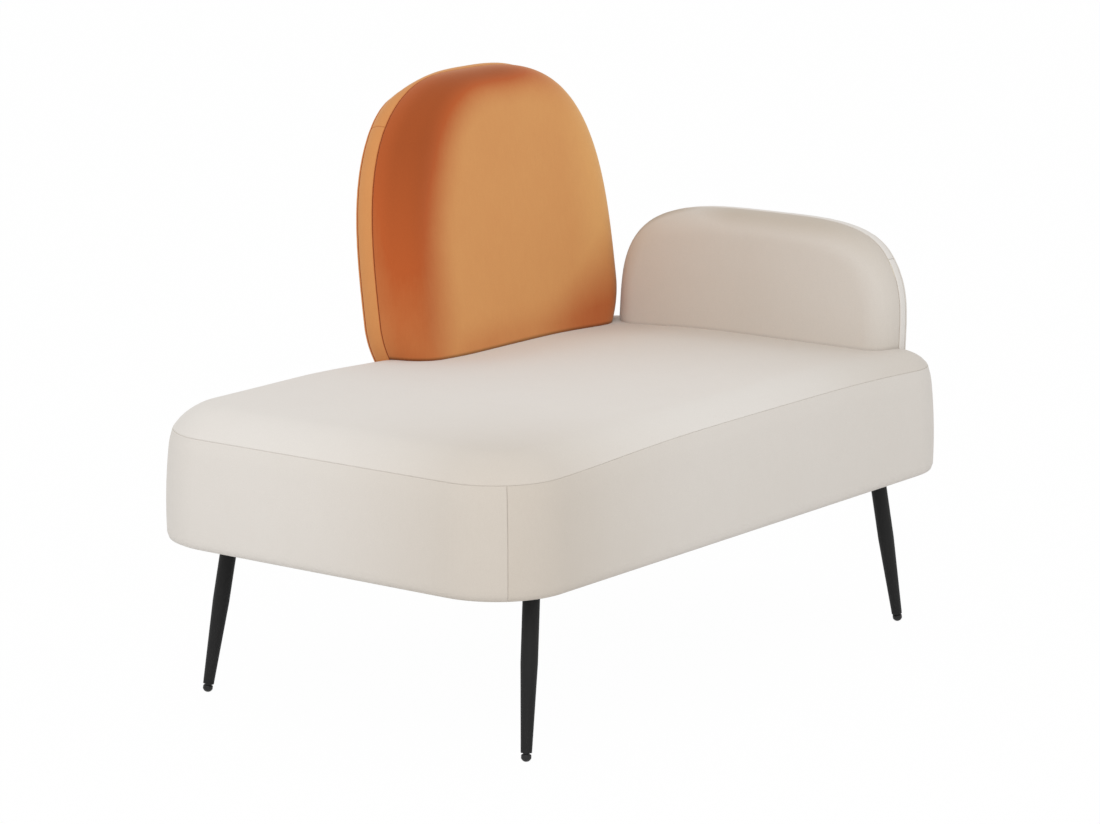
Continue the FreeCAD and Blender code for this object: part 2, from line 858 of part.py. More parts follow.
def leg_nodes():
    """Legs with their screws, nut inserts and levelling glides."""
    nodes = {}
    screws = []
    inserts = []
    for name, sx, sy in corners():
        nodes["leg_" + name] = cut_all(leg(sx, sy), leg_screws(sx, sy, leg_screw_clearance))
        nodes["glide_foot_" + name] = glide_foot(sx, sy)
        nodes["glide_stud_" + name] = glide_stud(sx, sy)
        screws += leg_screws(sx, sy)
        inserts.append(nut_insert(sx, sy))
    nodes["leg_screws"] = compound(screws)
    nodes["leg_nut_inserts"] = compound(inserts)
    return nodes


def panel_nodes(prefix, panel, mounting, seat):
    """Board, foam, covers and hardware of one upright panel, shaped to stand on the seat."""
    front = mounting.board_front()
    reach = panel.half_width + panel.height
    ahead = box((-reach, -reach, -reach), (reach, front, reach))
    inside = panel.inside()
    board = panel.board(front)
    pieces = {
        "board": board,
        "foam_front": inside.common(ahead),
        "foam_rear": inside.cut(ahead).cut(board),
        "cover_face": panel.face(0).cut(panel.face(cover_thickness)),
        "cover_band": panel.band(0).cut(panel.band(cover_thickness)),
        "cover_rear": panel.rear(0).cut(panel.rear(cover_thickness)),
    }
    pockets = mounting.slots() + mounting.panel_pockets()
    nodes = mounting.nodes(prefix)
    for name, shape in pieces.items():
        standing = panel.to_world(shape).cut(seat)
        tools = mounting.panel_pockets() if name == "board" else pockets
        nodes[prefix + "_" + name] = cut_all(standing, tools)
    return nodes


def centring_move(nodes):
    """The move that puts the origin on the floor under the middle of the overall outline."""
    boxes = [shape.optimalBoundingBox() for shape in nodes.values()]
    middle_x = (min(b.XMin for b in boxes) + max(b.XMax for b in boxes)) / 2
    middle_y = (min(b.YMin for b in boxes) + max(b.YMax for b in boxes)) / 2
    return V(-middle_x, -middle_y, -min(b.ZMin for b in boxes))


def main():
    os.makedirs("parts", exist_ok=True)
    seat = block_side(0).fuse(block_crown(0))
    nodes = seat_nodes(back_mounting.slots() + arm_mounting.slots())
    nodes.update(frame_nodes(back_mounting.rail_pockets() + arm_mounting.rail_pockets()))
    nodes.update(leg_nodes())
    nodes.update(panel_nodes("back", back_panel, back_mounting, seat))
    nodes.update(panel_nodes("arm", arm_panel, arm_mounting, seat))
    move = centring_move(nodes)
    print("origin moved by", round(move.x, 3), round(move.y, 3), round(move.z, 3))
    for name, shape in sorted(nodes.items()):
        place(shape, move=move).exportStep("parts/" + name + ".step")
        print(name, "valid" if shape.isValid() else "INVALID", len(shape.Solids), "solids",
              round(shape.Volume), "mm3")


main()
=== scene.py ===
# %% [markdown]
# # Dressing a chaise longue
# The construction of this chaise comes as a fixed frame: rails, boards, brackets, legs and
# plain solids for its foam and covers. This lesson gives it its looks. The covers become
# crowned cushions with a pile, seams and stitches, the steel gets its powder coat, and a
# plain studio shows it from the front left.

# %% Load the frame
import json
import math

import bmesh
import bpy
import numpy as np
from mathutils import Matrix, Vector


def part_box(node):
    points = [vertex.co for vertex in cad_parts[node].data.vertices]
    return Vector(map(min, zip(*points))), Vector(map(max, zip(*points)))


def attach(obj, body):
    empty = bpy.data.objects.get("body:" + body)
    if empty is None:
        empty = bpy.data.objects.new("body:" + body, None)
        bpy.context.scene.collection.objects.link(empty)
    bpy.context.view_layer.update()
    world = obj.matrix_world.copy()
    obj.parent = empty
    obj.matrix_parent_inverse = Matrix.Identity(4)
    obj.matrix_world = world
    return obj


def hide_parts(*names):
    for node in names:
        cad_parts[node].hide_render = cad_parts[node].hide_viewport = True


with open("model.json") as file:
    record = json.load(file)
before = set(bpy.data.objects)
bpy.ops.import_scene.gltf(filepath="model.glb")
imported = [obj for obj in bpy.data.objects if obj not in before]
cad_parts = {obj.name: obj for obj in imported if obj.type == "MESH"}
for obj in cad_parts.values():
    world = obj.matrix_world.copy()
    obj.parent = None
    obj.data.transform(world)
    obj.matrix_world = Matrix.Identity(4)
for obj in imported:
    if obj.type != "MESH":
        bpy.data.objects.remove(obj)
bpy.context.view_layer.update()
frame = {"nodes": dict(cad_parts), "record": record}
NODES = frame["nodes"]
MM = 0.001

# %% Small helpers
def in_scene(name, data):
    """A new object with the given data, linked to the scene."""
    made = bpy.data.objects.new(name, data)
    bpy.context.scene.collection.objects.link(made)
    return made


def new_piece(name, points, faces, material=None):
    """A new mesh object. With a material, it is also shaded smooth."""
    mesh = bpy.data.meshes.new(name)
    mesh.from_pydata(points, [], faces)
    if material is not None:
        mesh.polygons.foreach_set("use_smooth", np.ones(len(mesh.polygons), bool))
        mesh.materials.append(material)
    return in_scene(name, mesh)


def box_corners(node):
    """The low and the high corner of a construction piece's box."""
    return [np.array(corner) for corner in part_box(node)]


def packed(*parts):
    """Points from their coordinates, each a number, a row, a column or a whole grid."""
    return np.stack(np.broadcast_arrays(*parts), -1)


def unit(vectors):
    """Vectors scaled to length 1."""
    return vectors / np.linalg.norm(vectors, axis=-1, keepdims=True)

# %% [markdown]
# ## Sizes
# A piece that stands for a construction solid has to lie where that solid lies. The middle
# of the seat block is read from the frame, and the shapes are drawn from the few sizes an
# upholsterer would note: the block, the two arched panels, and how far each bulges.

# %% Sizes of the block, in metres
block_low, block_high = box_corners("seat_cover_band")
BLOCK_MIDDLE = (block_low + block_high) / 2
block_half = np.array([597.5, 360.0]) * MM
corner_radius = 125 * MM
underside = block_low[2]
seam_height = 421 * MM
underside_round = 10 * MM
side_swell = 3.5 * MM
seam_draw_in = 8 * MM
crown_height = 36 * MM
crown_width = 70 * MM
hem_width = 40 * MM


# %% Sizes of the two panels
panel_base = 440 * MM
panel_foot = 26 * MM


class Panel:
    """Sizes of one arched panel, where it stands and which way it faces.

    parting and parting_reach say how dark its seams are painted and how far: parted pile
    and painted shade of the seam's groove. shoulders lists the places where the sewn outline
    differs from the even arch, as the outline parameter, the reach, and the extra inset at
    the front seam and at the rear seam.
    """

    def __init__(self, **sizes):
        self.__dict__.update(sizes)
        self.base = np.array([*self.place, panel_base])
        self.base[:2] += BLOCK_MIDDLE[:2]


BACK = Panel(half_width=293 * MM, height=443 * MM, springing=63 * MM, exponent=3.0,
             draw_in=34 * MM, band_depth=30 * MM, band_swell=3.8 * MM,
             face_crown=60 * MM, face_round=57 * MM, rear_crown=16 * MM, rear_round=46 * MM,
             lean=math.radians(7.5), turn=0.0, band_joins=0.82,
             parting=2.0, parting_reach=2.3 * MM,
             place=(block_half[0] - 376 * MM, block_half[1] - 59 * MM),
             shoulders=((1.3, 0.2, -2 * MM, 8 * MM), (0.7, 0.3, 0, 1.5 * MM)))
ARM = Panel(half_width=272.5 * MM, height=201 * MM, springing=2 * MM, exponent=3.7,
            draw_in=22 * MM, band_depth=17 * MM, band_swell=1.0 * MM,
            face_crown=45 * MM, face_round=45 * MM, rear_crown=24 * MM, rear_round=60 * MM,
            lean=math.radians(4.0), turn=math.radians(-90), band_joins=0.6,
            parting=1.65, parting_reach=1.5 * MM,
            place=(block_half[0] - 80 * MM, block_half[1] - 373.5 * MM),
            shoulders=((0.7, 0.5, 3 * MM, 3 * MM), (1.25, 0.35, 2 * MM, 2 * MM),
                       (math.pi - 0.5, 0.3, 3.5 * MM, 3.5 * MM)))

# %% [markdown]
# ## Camera
# The view is set first, because every later choice is judged through it. The lens is long,
# about 135 mm, so the block's edges stay nearly parallel.

# %% Camera from the front left
view_yaw = math.radians(52.894)
view_pitch = math.radians(11.917)
view_distance = 6.3785
view_target = Vector((-0.0481 + BLOCK_MIDDLE[0], -0.0096 + BLOCK_MIDDLE[1], 0.4))
forward = Vector((math.cos(view_pitch) * math.sin(view_yaw),
                  math.cos(view_pitch) * math.cos(view_yaw), -math.sin(view_pitch)))
rightward = Vector((math.cos(view_yaw), -math.sin(view_yaw), 0))
camera_data = bpy.data.cameras.new("camera")
camera_data.sensor_fit = "HORIZONTAL"
camera_data.sensor_width = 36.0
camera_data.lens = 135.18
camera_data.clip_end = 60
camera = in_scene("camera", camera_data)
axes = Matrix((rightward, rightward.cross(forward), -forward)).transposed().to_4x4()
camera.matrix_world = Matrix.Translation(view_target - view_distance * forward) @ axes
bpy.context.scene.camera = camera

# %% [markdown]
# ## Light and floor
# A white room lights the chaise from all round, one large soft lamp gives its sides
# different values, and the floor is a pale sheet. The camera sees the floor and the room as
# white, by Light Path, and the floor still darkens a little where the chaise stands over it.

# %% Node helpers
def feed(tree, node, inputs):
    """Gives a node's inputs their values, or links them to the sockets that feed them."""
    for key, value in inputs.items():
        if isinstance(value, bpy.types.NodeSocket):
            tree.links.new(value, node.inputs[key])
        else:
            node.inputs[key].default_value = value
    return node


def add_node(tree, kind, inputs=None, **settings):
    """Adds a shader node: settings are its properties, inputs its values or feeding sockets."""
    made = tree.nodes.new(kind)
    for key, value in settings.items():
        setattr(made, key, value)
    return feed(tree, made, inputs or {})


def arithmetic(tree, kind, a, b, clamp=False):
    """One Math node on two values or sockets."""
    return add_node(tree, "ShaderNodeMath", {0: a, 1: b}, operation=kind, use_clamp=clamp).outputs[0]


def seen_directly(tree):
    """1 for rays from the camera, from glossy surfaces and through clear ones, else 0."""
    path = add_node(tree, "ShaderNodeLightPath").outputs
    first = arithmetic(tree, "MAXIMUM", path["Is Camera Ray"], path["Is Glossy Ray"])
    return arithmetic(tree, "MAXIMUM", first, path["Is Transmission Ray"])


# %% White room and window
room_strength = 0.80
world = bpy.data.worlds.new("white room")
world.use_nodes = True
tree = world.node_tree
tree.nodes.clear()
room = add_node(tree, "ShaderNodeBackground", {"Color": (1.0, 0.995, 0.985, 1), "Strength": room_strength})
white = add_node(tree, "ShaderNodeBackground", {"Color": (1, 1, 1, 1), "Strength": 1.0})
mixed = add_node(tree, "ShaderNodeMixShader",
                 {0: seen_directly(tree), 1: room.outputs[0], 2: white.outputs[0]})
add_node(tree, "ShaderNodeOutputWorld", {"Surface": mixed.outputs[0]})
bpy.context.scene.world = world
bpy.context.scene.view_settings.view_transform = "Standard"

window_data = bpy.data.lights.new("window", "AREA")
window_data.size = 2.4
window_data.energy = 62
window_data.color = (1.0, 0.99, 0.98)
window = in_scene("window", window_data)
window.location = (-3.3, -2.1, 3.1)
window.rotation_euler = (Vector((0, 0, 0.4)) - window.location).to_track_quat("-Z", "Y").to_euler()

# %% Floor
floor_half = 12.0
floor_whiteness = 0.985
floor_corners = [(x * floor_half, y * floor_half, 0) for x, y in ((-1, -1), (1, -1), (1, 1), (-1, 1))]
floor = new_piece("floor", floor_corners, [(0, 1, 2, 3)])
paper = bpy.data.materials.new("floor paper")
paper.use_nodes = True
tree = paper.node_tree
matt = feed(tree, tree.nodes["Principled BSDF"], {"Base Color": (0.9, 0.9, 0.9, 1), "Roughness": 0.9})
glow = add_node(tree, "ShaderNodeEmission", {"Color": (1, 1, 1, 1), "Strength": 1.0})
lift = arithmetic(tree, "MULTIPLY", seen_directly(tree), floor_whiteness)
mixed = add_node(tree, "ShaderNodeMixShader", {0: lift, 1: matt.outputs[0], 2: glow.outputs[0]})
feed(tree, tree.nodes["Material Output"], {"Surface": mixed.outputs[0]})
floor.data.materials.append(paper)

# %% [markdown]
# ## Velvet
# Velvet is a short pile that stands up from its ground. It is dark where it is looked at
# straight on and pale where the light or the eye grazes it, which the sheen of the shader
# gives in part. Much of that shading is painted into the colour instead: a point attribute
# says how far the colour goes from the unshaded towards the shaded velvet colour, from 0 to
# 1. It is painted shade round soft edges, where a neighbouring panel casts its shadow and on
# sides turned from the lamp, and a painted sheen where it is lighter at grazing edges. Above
# 1 it darkens the seams, partly as parted pile that shows the dark ground and partly as
# painted shade of the seam's groove. A second attribute says how close a panel's face is to
# the seat, where a painted shadow line darkens the colour. Soft noises add the faint clouds
# and brush marks of cloth in use.

# %% Shader group helpers
def new_group(name, **inputs):
    """A shader group with inputs of the given kinds that puts out colour, roughness and height."""
    tree = bpy.data.node_groups.new(name, "ShaderNodeTree")
    outputs = {"Color": "Color", "Roughness": "Float", "Height": "Float"}
    for direction, sockets in (("INPUT", inputs), ("OUTPUT", outputs)):
        for label, kind in sockets.items():
            tree.interface.new_socket(name=label, in_out=direction, socket_type="NodeSocket" + kind)
    return tree, add_node(tree, "NodeGroupInput").outputs, add_node(tree, "NodeGroupOutput")


def noise(tree, vector, scale, detail=2.0, rough=0.5):
    """A noise texture's value, with features about 1 / scale metres across."""
    return add_node(tree, "ShaderNodeTexNoise", {"Vector": vector, "Scale": scale, "Detail": detail,
                                                 "Roughness": rough}).outputs[0]


def stretched(tree, vector, factors):
    """Coordinates scaled along each axis: a small factor stretches a pattern."""
    return add_node(tree, "ShaderNodeMapping", {"Vector": vector, "Scale": factors}).outputs[0]


def mix_color(tree, share, a, b):
    """Two colours mixed by a share."""
    return add_node(tree, "ShaderNodeMix", {0: share, 6: a, 7: b}, data_type="RGBA").outputs[2]


def scaled_color(tree, color, factor):
    """A colour times a value."""
    return add_node(tree, "ShaderNodeVectorMath", {0: color, 1: factor}, operation="MULTIPLY").outputs[0]


def ranged(tree, value, low, high):
    """A value from 0 to 1 brought to the range low to high."""
    return add_node(tree, "ShaderNodeMapRange", {"Value": value, "To Min": low, "To Max": high}).outputs[0]


def weighted(tree, *terms):
    """Sum of values times weights, from (value, weight) pairs."""
    total, *others = (arithmetic(tree, "MULTIPLY", *term) for term in terms)
    for term in others:
        total = arithmetic(tree, "ADD", total, term)
    return total


# %% Velvet group
# Colour left in a seam's darkest line: painted shade of the groove as well as parted pile.
ground_shade = 0.12
# Closeness to the seat where the painted shadow line begins and where it is full.
crush_begins, crush_is_full = 0.0135, 0.0195


def velvet_group():
    """Colour, roughness and height of a pile, with painted shade mixed into its colour."""
    tree, given, result = new_group("velvet pile", Vector="Vector", Upright="Color", Laid="Color",
                                    Nap="Float", Clouds="Float", Sunk="Float", Crush="Float")
    vector = given["Vector"]
    broad = noise(tree, vector, 5.0, detail=3.0)
    patches = noise(tree, vector, 24.0, detail=3.0, rough=0.6)
    strokes = noise(tree, stretched(tree, vector, (230, 230, 30)), 1.0, 2.0)
    pile = noise(tree, vector, 1100.0, detail=1.0)
    clouds = weighted(tree, (broad, 0.6), (patches, 0.4), (strokes, 0.3))
    clouds = arithmetic(tree, "SUBTRACT", clouds, 0.65)
    clouds = arithmetic(tree, "MULTIPLY", clouds, given["Clouds"])
    # Painted shade plus random clouds: how far the colour goes from the unshaded towards the shaded velvet
    # colour.
    laid = arithmetic(tree, "ADD", given["Nap"], clouds, clamp=True)
    color = mix_color(tree, laid, given["Upright"], given["Laid"])
    # Above 1 the attribute darkens the seams: parted pile and painted shade of the groove.
    parting = arithmetic(tree, "SUBTRACT", given["Nap"], 1.0, clamp=True)
    color = scaled_color(tree, color, ranged(tree, parting, 1.0, ground_shade))
    # Painted shadow line where a panel's face comes close to the seat.
    close = add_node(tree, "ShaderNodeMapRange",
                     {"Value": given["Sunk"], "From Min": crush_begins, "From Max": crush_is_full},
                     interpolation_type="SMOOTHSTEP").outputs[0]
    crushed = arithmetic(tree, "MULTIPLY", close, given["Crush"])
    color = scaled_color(tree, color, arithmetic(tree, "SUBTRACT", 1.0, crushed))
    color = scaled_color(tree, color, ranged(tree, pile, 0.92, 1.07))
    feed(tree, result, {"Color": color, "Roughness": ranged(tree, laid, 0.94, 0.8),
                        "Height": weighted(tree, (pile, 0.6), (strokes, 0.4))})
    return tree


VELVET = velvet_group()


# %% The two velvets
def principled(name):
    """A new material with its tree, its shader and its object coordinates."""
    material = bpy.data.materials.new(name)
    material.use_nodes = True
    tree = material.node_tree
    place = add_node(tree, "ShaderNodeTexCoord").outputs["Object"]
    return material, tree, tree.nodes["Principled BSDF"], place


def velvet(name, upright, laid, clouds, sheen, tint, crush):
    """A velvet whose painted shade and painted shadow line at the seat are read from the piece's own
    attributes.
    """
    material, tree, shader, place = principled(name)
    nap, sunk = (add_node(tree, "ShaderNodeAttribute", attribute_name=label).outputs["Fac"]
                 for label in ("nap", "sunk"))
    inputs = {"Vector": place, "Upright": (*upright, 1), "Laid": (*laid, 1), "Nap": nap,
              "Clouds": clouds, "Sunk": sunk, "Crush": crush}
    pile = add_node(tree, "ShaderNodeGroup", inputs, node_tree=VELVET).outputs
    bump = add_node(tree, "ShaderNodeBump",
                    {"Strength": 0.35, "Distance": 0.4 * MM, "Height": pile["Height"]})
    feed(tree, shader, {"Base Color": pile["Color"], "Roughness": pile["Roughness"],
                        "Normal": bump.outputs[0], "Specular IOR Level": 0.12,
                        "Sheen Weight": sheen, "Sheen Roughness": 0.42, "Sheen Tint": (*tint, 1)})
    return material


# Each velvet: its unshaded colour, its colour in painted shade, and the strength of its painted shadow line
# at the seat.
cream_velvet = velvet("cream velvet", upright=(0.76, 0.73, 0.695), laid=(0.46, 0.385, 0.30),
                      clouds=0.10, sheen=0.2, tint=(1.0, 0.99, 0.97), crush=0.12)
orange_velvet = velvet("orange velvet", upright=(0.78, 0.42, 0.155), laid=(0.48, 0.105, 0.025),
                       clouds=0.2, sheen=0.34, tint=(1.0, 0.82, 0.55), crush=0.62)

# %% [markdown]
# ## Hard and hidden materials
# Paint, plastic, zinc, timber and the stuffing materials share one effect: the fine
# unevenness of a made surface. It is one group with a scale and a depth, placed in each
# material with its own values. Timber and plywood add grain, and webbing a weave.

# %% Unevenness group
def uneven_group():
    """A colour varied by clouds and grain, and the height of the grain."""
    tree, given, result = new_group("unevenness", Vector="Vector", Color="Color", Scale="Float",
                                    Depth="Float")
    fine = noise(tree, given["Vector"], given["Scale"], detail=3.0)
    clouds = noise(tree, given["Vector"], 18.0, detail=3.0)
    both = weighted(tree, (fine, 0.5), (clouds, 0.5))
    swing = arithmetic(tree, "MULTIPLY", arithmetic(tree, "SUBTRACT", both, 0.5), given["Depth"])
    color = scaled_color(tree, given["Color"], arithmetic(tree, "ADD", 1.0, swing))
    rough = arithmetic(tree, "ADD", 0.5, swing, clamp=True)
    feed(tree, result, {"Color": color, "Roughness": rough, "Height": fine})
    return tree


UNEVEN = uneven_group()
rough_spread = 0.12


# %% Materials made from it
def made_surface(name, color, scale, depth, rough, bump, metallic, specular, vector):
    """A material whose colour, roughness and bump come from the unevenness group."""
    material, tree, shader, place = principled(name)
    inputs = {"Vector": vector(tree, place) if vector else place, "Color": (*color, 1),
              "Scale": scale, "Depth": depth}
    uneven = add_node(tree, "ShaderNodeGroup", inputs, node_tree=UNEVEN).outputs
    spread = ranged(tree, uneven["Roughness"], rough - rough_spread, rough + rough_spread)
    height = add_node(tree, "ShaderNodeBump",
                      {"Strength": 0.5, "Distance": bump, "Height": uneven["Height"]})
    feed(tree, shader, {"Base Color": uneven["Color"], "Roughness": spread, "Normal": height.outputs[0],
                        "Metallic": metallic, "Specular IOR Level": specular})
    return material


def along_x(tree, place):
    """Grain that runs with the long rails: short steps across, long ones along X."""
    return stretched(tree, place, (0.06, 1, 1))


def woven(tree, place):
    """Threads that cross: the sum of two waves, one along X and one along Y, as coordinates."""
    waves = [add_node(tree, "ShaderNodeTexWave", {"Vector": place, "Scale": 160.0, "Distortion": 0.4},
             bands_direction=axis).outputs[0] for axis in "XY"]
    return add_node(tree, "ShaderNodeVectorMath", {0: place, 1: arithmetic(tree, "MULTIPLY", *waves)},
                    operation="ADD").outputs[0]


# Slot, name, colour, scale and depth of the grain, roughness, bump in mm, specular, coordinates
SURFACES = (
    ("foam", "foam", (0.80, 0.74, 0.52), 900, 0.25, 0.9, 0.6, 0.1, None),
    ("felt", "felt", (0.46, 0.44, 0.40), 420, 0.7, 0.95, 0.5, 0.1, None),
    ("webbing", "webbing", (0.022, 0.022, 0.025), 60, 1.2, 0.8, 0.4, 0.2, woven),
    ("dust_cloth", "dust cloth", (0.012, 0.012, 0.013), 700, 1.2, 0.9, 0.2, 0.2, None),
    ("timber", "timber", (0.58, 0.37, 0.17), 260, 0.6, 0.7, 0.2, 0.3, along_x),
    ("plywood", "plywood", (0.62, 0.43, 0.22), 190, 0.5, 0.7, 0.2, 0.3, along_x),
    ("black_steel", "black powder coat", (0.012, 0.012, 0.012), 1300, 0.8, 0.6, 0.12, 0.22, None),
    ("zinc_steel", "zinc plate", (0.62, 0.62, 0.60), 350, 0.2, 0.35, 0.05, 0.5, None),
    ("black_plastic", "moulded plastic", (0.011, 0.011, 0.011), 1500, 0.6, 0.5, 0.08, 0.35, None),
    ("thread", "thread", (0.62, 0.58, 0.52), 2500, 0.5, 0.7, 0.05, 0.2, None),
    ("orange_thread", "orange thread", (0.30, 0.09, 0.03), 2500, 0.5, 0.7, 0.05, 0.2, None),
)
MATERIALS = {"cream_velvet": cream_velvet, "orange_velvet": orange_velvet}
for slot, name, color, scale, depth, rough, bump, specular, vector in SURFACES:
    MATERIALS[slot] = made_surface(name, color, scale, depth, rough, bump * MM,
                                   float(slot == "zinc_steel"), specular, vector)

for part in frame["record"]["subparts"]:
    for material_slot in NODES[part["node"]].material_slots:
        material_slot.material = MATERIALS[part["material_slot"]]

# %% [markdown]
# ## Shapes from whole arrays
# A cushion is a set of rings. Each ring is the outline of the cushion drawn in by an inset,
# at its own depth, and a profile says which inset goes with which depth. All the rings are
# one array. The flat middle that the last ring leaves open is filled with a Coons patch.
# Where two pieces of cloth are sewn, their edges roll inwards and meet in a narrow groove,
# so the rings and the columns lie close together on both sides of a seam.

# %% Stations along a strip of cloth
seam_roll = 2.6 * MM
seam_depth = 2.3 * MM
turned_in = 4 * MM
near_seam = np.array([0, 0.05, 0.19, 0.41, 0.69, 1.0, 1.6, 2.5]) * seam_roll


def stations(total, coarse, seams=()):
    """Distances from 0 to total, about coarse apart, and closer on both sides of each seam."""
    steps = np.linspace(0, total, max(2, int(round(total / coarse)) + 1))
    inside = (steps > 0) & (steps < total)
    for seam in seams:
        inside &= np.abs(steps - seam) > 1.4 * near_seam[-1]
    parts = [steps[inside], [0, total]]
    for seam in seams:
        parts += [seam - near_seam, seam + near_seam]
    every = np.unique(np.round(np.concatenate(parts), 8))
    return every[(every >= 0) & (every <= total)]


def seam_dent(distance):
    """Depth of a seam's rolled edges: depth * (1 - sqrt(1 - (1 - distance / roll) ** 2))."""
    share = np.clip(1 - distance / seam_roll, 0, 1)
    return seam_depth * (1 - np.sqrt(1 - share ** 2))


def parted(distance, reach):
    """Bell curve of the distance from a seam, for the seam's darker line: parted pile showing its dark
    ground, and painted shade of the seam's groove.
    """
    return np.exp(-(distance / reach) ** 2)


def nearest(values, marks):
    """Distance from each value to the nearest mark."""
    return np.min(np.abs(np.asarray(values)[:, None] - np.asarray(marks)[None]), axis=1)


def lengths(path):
    """Distance along a polyline from its start to each of its points."""
    return np.concatenate([[0], np.cumsum(np.linalg.norm(np.diff(path, axis=0), axis=1))])


def resampled(path, at):
    """Points of a polyline at the given distances from its start."""
    run = lengths(path)
    return np.stack([np.interp(at, run, path[:, axis]) for axis in range(path.shape[1])], -1)


def smoothstep(low, high, value):
    """0 below low, 1 above high, and a smooth S between."""
    share = np.clip((value - low) / (high - low), 0, 1)
    return share * share * (3 - 2 * share)


# %% Coons patch
def quilt(south, east, north, west, column_at=None, row_at=None):
    """A Coons patch: the two blends between opposite sides, less the blend of the corners.

    south and north run with the first parameter, west and east with the second. Both
    parameters follow the given stations, or else the distances along south and west.
    """
    column_at = lengths(south) if column_at is None else column_at
    row_at = lengths(west) if row_at is None else row_at
    u = (column_at / column_at[-1])[None, :, None]
    v = (row_at / row_at[-1])[:, None, None]
    across = (1 - v) * south[None] + v * north[None]
    along = (1 - u) * west[:, None] + u * east[:, None]
    corners = ((1 - u) * (1 - v) * south[0] + u * (1 - v) * south[-1]
               + (1 - u) * v * north[0] + u * v * north[-1])
    return across + along - corners


# %% Meshes from grids
weld_cell = 4e-6
cell_shift = 0.137


def welded(grids):
    """Points, quads and each grid point's number, with points that meet made one.

    grids is a list of (grid, flip) pairs. Points meet when they round to one small cell, and
    the shift keeps the middle plane off the cells' borders. Quads that shrink to a line or a
    point are left out.
    """
    every = np.concatenate([grid.reshape(-1, 3) for grid, flip in grids])
    cells = np.round(every / weld_cell + cell_shift).astype(np.int64)
    first, number = np.unique(cells, axis=0, return_index=True, return_inverse=True)[1:]
    number = number.reshape(-1)
    quads, start = [], 0
    for grid, flip in grids:
        own = number[start:start + grid[..., 0].size].reshape(grid.shape[:2])
        faces = np.stack([own[:-1, :-1], own[:-1, 1:], own[1:, 1:], own[1:, :-1]], -1).reshape(-1, 4)
        quads.append(faces[:, ::-1] if flip else faces)
        start += own.size
    quads = np.concatenate(quads)
    whole = (np.diff(np.sort(quads, axis=1), axis=1) > 0).all(axis=1)
    return every[first], quads[whole], number, first


def mesh_object(name, grids, material, nap=None, thickness=1.2 * MM, sunk=None):
    """One smooth piece from (grid, flip) pairs, thickened inwards, with its attributes per point."""
    points, quads, number, first = welded(grids)
    piece = new_piece(name, points, quads.tolist(), material)
    # The painted shade and the mask for the painted shadow line are stored per point.
    for label, values in (("nap", nap), ("sunk", sunk)):
        if values is not None:
            layer = piece.data.attributes.new(label, "FLOAT", "POINT")
            values = np.concatenate([part.reshape(-1) for part in values])[first]
            layer.data.foreach_set("value", values.astype(np.float32))
    if thickness:
        shell = piece.modifiers.new("cloth thickness", "SOLIDIFY")
        shell.thickness = thickness
        shell.offset = -1
    return piece


# %% [markdown]
# ## Cloth simulation
# A tight cover swells a little where nothing holds it and stays put at its seams. Blender's
# Cloth gives that swelling: a coarse copy of the cover is pinned at its seams, blown up by
# pressure with gravity off, and stepped for twenty frames. The way that each point moved is
# then scaled down to the few millimetres that a firm foam allows, and carried over to the
# fine grids, whose rows and columns include the coarse ones.

# %% Pressure on a coarse copy
coarse_gap = 9 * MM
pinned_width = 4 * MM
cover_pressure = 4.0
cloth_frames = 20
calm_passes = 12


def thinned(at, gap):
    """Numbers of the stations that are at least gap apart, with the first and the last."""
    kept = [0]
    for number in range(1, len(at) - 1):
        if at[number] - at[kept[-1]] >= gap and at[-1] - at[number] >= gap:
            kept.append(number)
    return np.array(kept + [len(at) - 1])


def swollen(name, grids, held):
    """How far each grid point moves when a pinned cover is blown up from inside."""
    points, quads, number, first = welded(grids)
    pins = np.concatenate([mask.reshape(-1) for mask in held])[first]
    piece = new_piece(name, points, quads.tolist())
    group = piece.vertex_groups.new(name="held")
    group.add(np.flatnonzero(pins).tolist(), 1.0, "REPLACE")
    cloth = piece.modifiers.new("cloth", "CLOTH")
    settings = {"vertex_group_mass": "held", "quality": 6, "mass": 0.3, "tension_stiffness": 25,
                "compression_stiffness": 25, "shear_stiffness": 12, "bending_stiffness": 6,
                "use_pressure": True, "uniform_pressure_force": cover_pressure}
    for key, value in settings.items():
        setattr(cloth.settings, key, value)
    cloth.settings.effector_weights.gravity = 0
    cloth.collision_settings.use_collision = False
    cloth.point_cache.frame_start = 1
    cloth.point_cache.frame_end = cloth_frames
    for step in range(1, cloth_frames + 1):
        bpy.context.scene.frame_set(step)
    seen = piece.evaluated_get(bpy.context.evaluated_depsgraph_get()).data
    after = np.empty(len(seen.vertices) * 3)
    seen.vertices.foreach_get("co", after)
    drift = (after.reshape(-1, 3) - points)[number]
    bpy.context.scene.frame_set(1)
    mesh = piece.data
    bpy.data.objects.remove(piece)
    bpy.data.meshes.remove(mesh)
    ends = np.cumsum([grid[..., 0].size for grid, flip in grids])[:-1]
    return [part.reshape(grid.shape) for part, (grid, flip) in zip(np.split(drift, ends), grids)]


def hermite(values, at, every):
    """Smooth interpolation along the first axis, through values at at, to all stations."""
    slope = np.gradient(values, at, axis=0)
    left = np.clip(np.searchsorted(at, every, side="right") - 1, 0, len(at) - 2)
    gap = (at[left + 1] - at[left])[:, None, None]
    s = (every - at[left])[:, None, None] / gap
    return ((2 * s ** 3 - 3 * s ** 2 + 1) * values[left] + (s ** 3 - 2 * s ** 2 + s) * gap * slope[left]
            + (3 * s ** 2 - 2 * s ** 3) * values[left + 1] + (s ** 3 - s ** 2) * gap * slope[left + 1])


def calmed(step):
    """A drift averaged with its neighbours along both axes, again and again, borders kept."""
    for turn_number in range(calm_passes):
        step = step.copy()
        step[1:-1] = 0.5 * step[1:-1] + 0.25 * (step[:-2] + step[2:])
        step[:, 1:-1] = 0.5 * step[:, 1:-1] + 0.25 * (step[:, :-2] + step[:, 2:])
    return step


